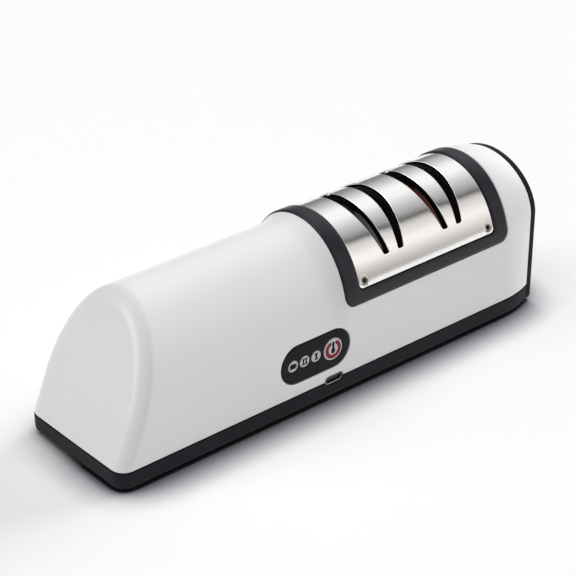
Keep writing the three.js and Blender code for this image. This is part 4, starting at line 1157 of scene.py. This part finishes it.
lensPiece = {
    "radius": 2.52,
    "rounding": 0.2,
    "sink": 0.05,
    "depth": 1.2,
    "stem": 2,
    "steps": 64,
}
radius, rounding, stem = (lensPiece[key] for key in ("radius", "rounding", "stem"))
for i, ((low, high), middle) in enumerate(zip(lensBoxes, lensCentres)):
    front = low[1] + lensPiece["sink"]
    back = front + lensPiece["depth"]
    profile = [(front, 0), (front, radius - rounding), (front + rounding, radius)]
    profile += [(back, radius), (back, stem), (high[1], stem), (high[1], 0)]
    at = np.array([middle[0], 0, middle[2]])
    lens = weighted(lathe(f"light_{i + 1}", profile, at, "Y", lensPiece["steps"]))
    dress(lens, finishes["light"], replaces=[f"indicator_lens_{i + 1}"])

numeralOne = {"height": 2.95, "width": 2, "stroke": 0.92, "serif": 0.56}
numeralPair = {"height": 2.85, "width": 1.36, "stroke": 0.74, "serif": 0.5, "pitch": 1.42}
cellSign = {"ends": (-1.7, 1.2), "half": 1.1, "corner": 0.35, "steps": 4}
cellTip = {"ends": (1.28, 1.72), "half": 0.6, "corner": 0.12, "steps": 3}
lensFace = lensBoxes[0][0][1] + lensPiece["sink"]


def numeral(x, z, sizes):
    half, thick, serif = sizes["width"] / 2, sizes["stroke"] / 2, sizes["serif"]
    top, low = z + sizes["height"] / 2, z - sizes["height"] / 2
    return [
        (x + half, top), (x - half, top), (x - half, top - serif), (x - thick, top - serif),
        (x - thick, low + serif), (x - half, low + serif), (x - half, low), (x + half, low),
        (x + half, low + serif), (x + thick, low + serif), (x + thick, top - serif),
        (x + half, top - serif),
    ]


first, second, third = lensCentres
inlay("mark_one", numeral(third[0], third[2], numeralOne), lensFace, "ink")
for i, side in enumerate((-1, 1)):
    mark = numeral(second[0] + side * numeralPair["pitch"] / 2, second[2], numeralPair)
    inlay(f"mark_two_{i + 1}", mark, lensFace, "ink")
for name, sizes in (("mark_cell", cellSign), ("mark_cell_tip", cellTip)):
    left, right = (first[0] + end for end in sizes["ends"])
    low, high = first[2] - sizes["half"], first[2] + sizes["half"]
    mark = roundedRect(left, right, low, high, sizes["corner"], sizes["steps"])
    inlay(name, mark, lensFace, "ink")
print("controls made")


# Charging socket

socketPiece = {
    "lip": 0.06,
    "wall": 0.2,
    "rise": 0.17,
    "back": 0.8,
    "outerTurn": 0.3,
    "innerTurn": (0.5, 0.2),
}
shadeCollarPiece = {"width": 0.44, "play": 0.01, "sink": 0.08, "depth": 3, "past": 1}
front, back = usbLow[1], usbHigh[1]


def socketRing(inset, y, lift=0):
    return [(x, y, z) for x, z in usbOutline(-inset, lift)]


lip, wall, lift = (socketPiece[key] for key in ("lip", "wall", "rise"))
outer, (innerIn, innerBack) = lip * socketPiece["outerTurn"], socketPiece["innerTurn"]
socketRings = [socketRing(0, back), socketRing(0, front + lip), socketRing(outer, front + outer)]
socketRings.append(socketRing(lip, front))
socketRings.append(socketRing(wall - lip * innerIn, front + lip * innerBack, lift))
socketRings.append(socketRing(wall, front + lip, lift))
socketRings.append(socketRing(wall, back - socketPiece["back"], lift))
socket = weighted(loft("socket", socketRings))
dress(socket, finishes["steel"], replaces=["usb_socket"])

# A black collar round the socket fills the gap to the shell with painted shade.
collarFront = front + shadeCollarPiece["sink"]
collarBack = collarFront + shadeCollarPiece["depth"]
past = shadeCollarPiece["past"]
rim, hole = (upright(usbOutline(shadeCollarPiece[key])) for key in ("width", "play"))
collar = prism("port_shade_collar", rim, collarFront, collarBack, "Y")
mouth = prism("mouth", hole, collarFront - past, collarBack + past, "Y")
combined(collar, [mouth], "DIFFERENCE")
dress(collar, finishes["inner"])


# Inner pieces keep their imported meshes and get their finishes

innerFinishes = {
    "tongue": ["usb_tongue"],
    "inner": [
        "tact_switch", "switch_plunger", "motor_end_bell", "left_bracket", "right_bracket",
        "motor_cradle", "battery_bed",
    ],
    "steel": [
        "motor_can", "motor_strap", "motor_shaft", "spindle_shaft", "fine_washer", "coarse_washer",
    ],
    "bronze": ["left_bush", "right_bush", "shaft_coupler"],
    "grey": ["wheel_spacer", "fine_hub", "coarse_hub"],
    "board": ["control_board", "charge_board"],
    "wrap": ["battery_cell"],
    "lamp": ["indicator_led_1", "indicator_led_2", "indicator_led_3"],
}
for finish, names in innerFinishes.items():
    for name in names:
        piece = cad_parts[name]
        piece.data.materials.clear()
        piece.data.materials.append(finishes[finish])
print("inner pieces finished:", sum(len(names) for names in innerFinishes.values()))


# Stage, light and camera

stage = {
    "size": 6000,
    "floorColour": (0.95, 0.95, 0.95),
    "lighter": 0.004,
    "clouds": (3, 2),
    "roughness": 0.9,
    "specular": 0.1,
    # painted contact shadow on the floor: its colours over the occlusion, where it clears, its reach,
    # and where it fades from front to back
    "paintedShadowStops": ((0.44, (0.02, 0.018, 0.024)), (0.69, (0.48, 0.465, 0.5))),
    "clearAt": 0.93,
    "paintedShadowReach": 22,
    "paintedShadowFades": (-5, 40),
    "sky": 0.01,
    "white": (1, 0.995, 1),
    "warmWhite": (1, 0.97, 0.945),
    "warmBelow": 0.3,
    "greys": (  # from front to back
        (0.0, 0.55), (0.1, 0.7), (0.13, 1.0), (0.16, 1.0), (0.19, 0.81), (0.235, 0.68),
        (0.262, 0.38), (0.276, 0.08), (0.29, 0.09), (0.305, 0.25), (0.325, 0.32), (0.38, 0.47),
        (0.43, 0.58), (0.49, 0.71), (0.54, 0.85), (0.6, 0.98), (0.69, 1.0), (0.73, 0.94),
        (0.77, 0.83), (0.83, 0.56), (0.88, 0.33), (1.0, 0.26),
    ),
    "horizon": ((0.0, (0.5, 0.48, 0.46)), (0.1, (0.7, 0.69, 0.68)), (0.3, (1, 1, 1))),
}
bpy.ops.mesh.primitive_plane_add(size=stage["size"] * mm)
floor = bpy.context.object
floor.name = "floor"
floorMaterial, tree, shader, coordinates = newMaterial("pale floor with painted contact shadow")
clouds = noiseOf(tree, coordinates, *stage["clouds"])
tone = tones(tree, clouds, stage["floorColour"], 0, stage["lighter"])
# The floor's colour carries a painted contact shadow: an occlusion ramp darkens it near the object,
# for camera rays only, and it fades out behind the object.
contact = tree.nodes.new("ShaderNodeAmbientOcclusion")
contact.inputs["Distance"].default_value = stage["paintedShadowReach"] * mm
paintedShadowStops = [*stage["paintedShadowStops"], (stage["clearAt"], stage["floorColour"])]
shaded = ramp(tree, contact.outputs["AO"], paintedShadowStops)
place = tree.nodes.new("ShaderNodeSeparateXYZ")
feed(tree, coordinates, place.inputs["Vector"])
fadeStart, fadeEnd = (y * mm for y in stage["paintedShadowFades"])
nearFront = ranged(tree, place.outputs["Y"], 1, 0, fadeStart, fadeEnd)
seen = tree.nodes.new("ShaderNodeLightPath").outputs["Is Camera Ray"]
share = computed(tree, "MULTIPLY", nearFront, seen)
feed(tree, mixed(tree, share, tone, shaded), shader.inputs["Base Color"])
shader.inputs["Roughness"].default_value = stage["roughness"]
shader.inputs["Specular IOR Level"].default_value = stage["specular"]
floor.data.materials.append(floorMaterial)
floor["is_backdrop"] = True

world = bpy.data.worlds.new("studio")
bpy.context.scene.world = world
world.use_nodes = True
tree = world.node_tree
rays = tree.nodes.new("ShaderNodeLightPath")
direction = tree.nodes.new("ShaderNodeTexCoord").outputs["Generated"]
axes = tree.nodes.new("ShaderNodeSeparateXYZ")
feed(tree, direction, axes.inputs["Vector"])
studio = ramp(tree, ranged(tree, axes.outputs["Y"], 0, 1, -1), [
    (at, scaled(stage["warmWhite"] if at < stage["warmBelow"] else stage["white"], grey))
    for at, grey in stage["greys"]
])
dimmed = mixed(tree, 1, studio, ramp(tree, axes.outputs["Z"], stage["horizon"]), "MULTIPLY")
sky = (stage["sky"], stage["sky"], stage["sky"], 1)
plain = mixed(tree, rays.outputs["Is Glossy Ray"], sky, dimmed)
shown = mixed(tree, rays.outputs["Is Camera Ray"], plain, (1, 1, 1, 1))
feed(tree, shown, tree.nodes["Background"].inputs["Color"])

lamps = {
    "top": {"towards": (0, 0, 1), "power": 1.93, "angle": 72, "glossy": False},
    "back": {"towards": (0, 0.73, 0.68), "power": 0.14, "angle": 50, "glossy": False},
    "right": {"towards": (0.95, 0, 0.31), "power": 2.6, "angle": 44, "glossy": False},
    "left": {"towards": (-0.82, 0.47, 0.31), "power": 0.74, "angle": 30, "glossy": True},
    "front": {"towards": (0, -0.73, 0.68), "power": 0.18, "angle": 50, "glossy": False},
}
for name, lamp in lamps.items():
    sun = bpy.data.lights.new(name, "SUN")
    sun.energy = lamp["power"]
    sun.angle = radians(lamp["angle"])
    piece = bpy.data.objects.new(name, sun)
    bpy.context.scene.collection.objects.link(piece)
    piece.rotation_euler = Vector(lamp["towards"]).to_track_quat("Z", "Y").to_euler()
    piece.visible_glossy = lamp["glossy"]

view = {
    "azimuth": -40.57,
    "elevation": 29.33,
    "target": (3.668, 9.72, 30),
    "distance": 801.5,
    "focalPixels": 1951.5,
    "framePixels": 576,
    "sensorWidth": 36,
}
azimuth, elevation = radians(view["azimuth"]), radians(view["elevation"])
away = Vector((sin(azimuth) * cos(elevation), -cos(azimuth) * cos(elevation), sin(elevation)))
cameraData = bpy.data.cameras.new("camera")
cameraData.sensor_width = view["sensorWidth"]
cameraData.lens = cameraData.sensor_width * view["focalPixels"] / view["framePixels"]
camera = bpy.data.objects.new("camera", cameraData)
bpy.context.scene.collection.objects.link(camera)
camera.location = (Vector(view["target"]) + away * view["distance"]) * mm
camera.rotation_euler = away.to_track_quat("Z", "Y").to_euler()
bpy.context.scene.camera = camera
bpy.context.scene.view_settings.view_transform = "Standard"
print("stage set")

sizes = {"cad": cadBounds, "visual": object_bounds()}
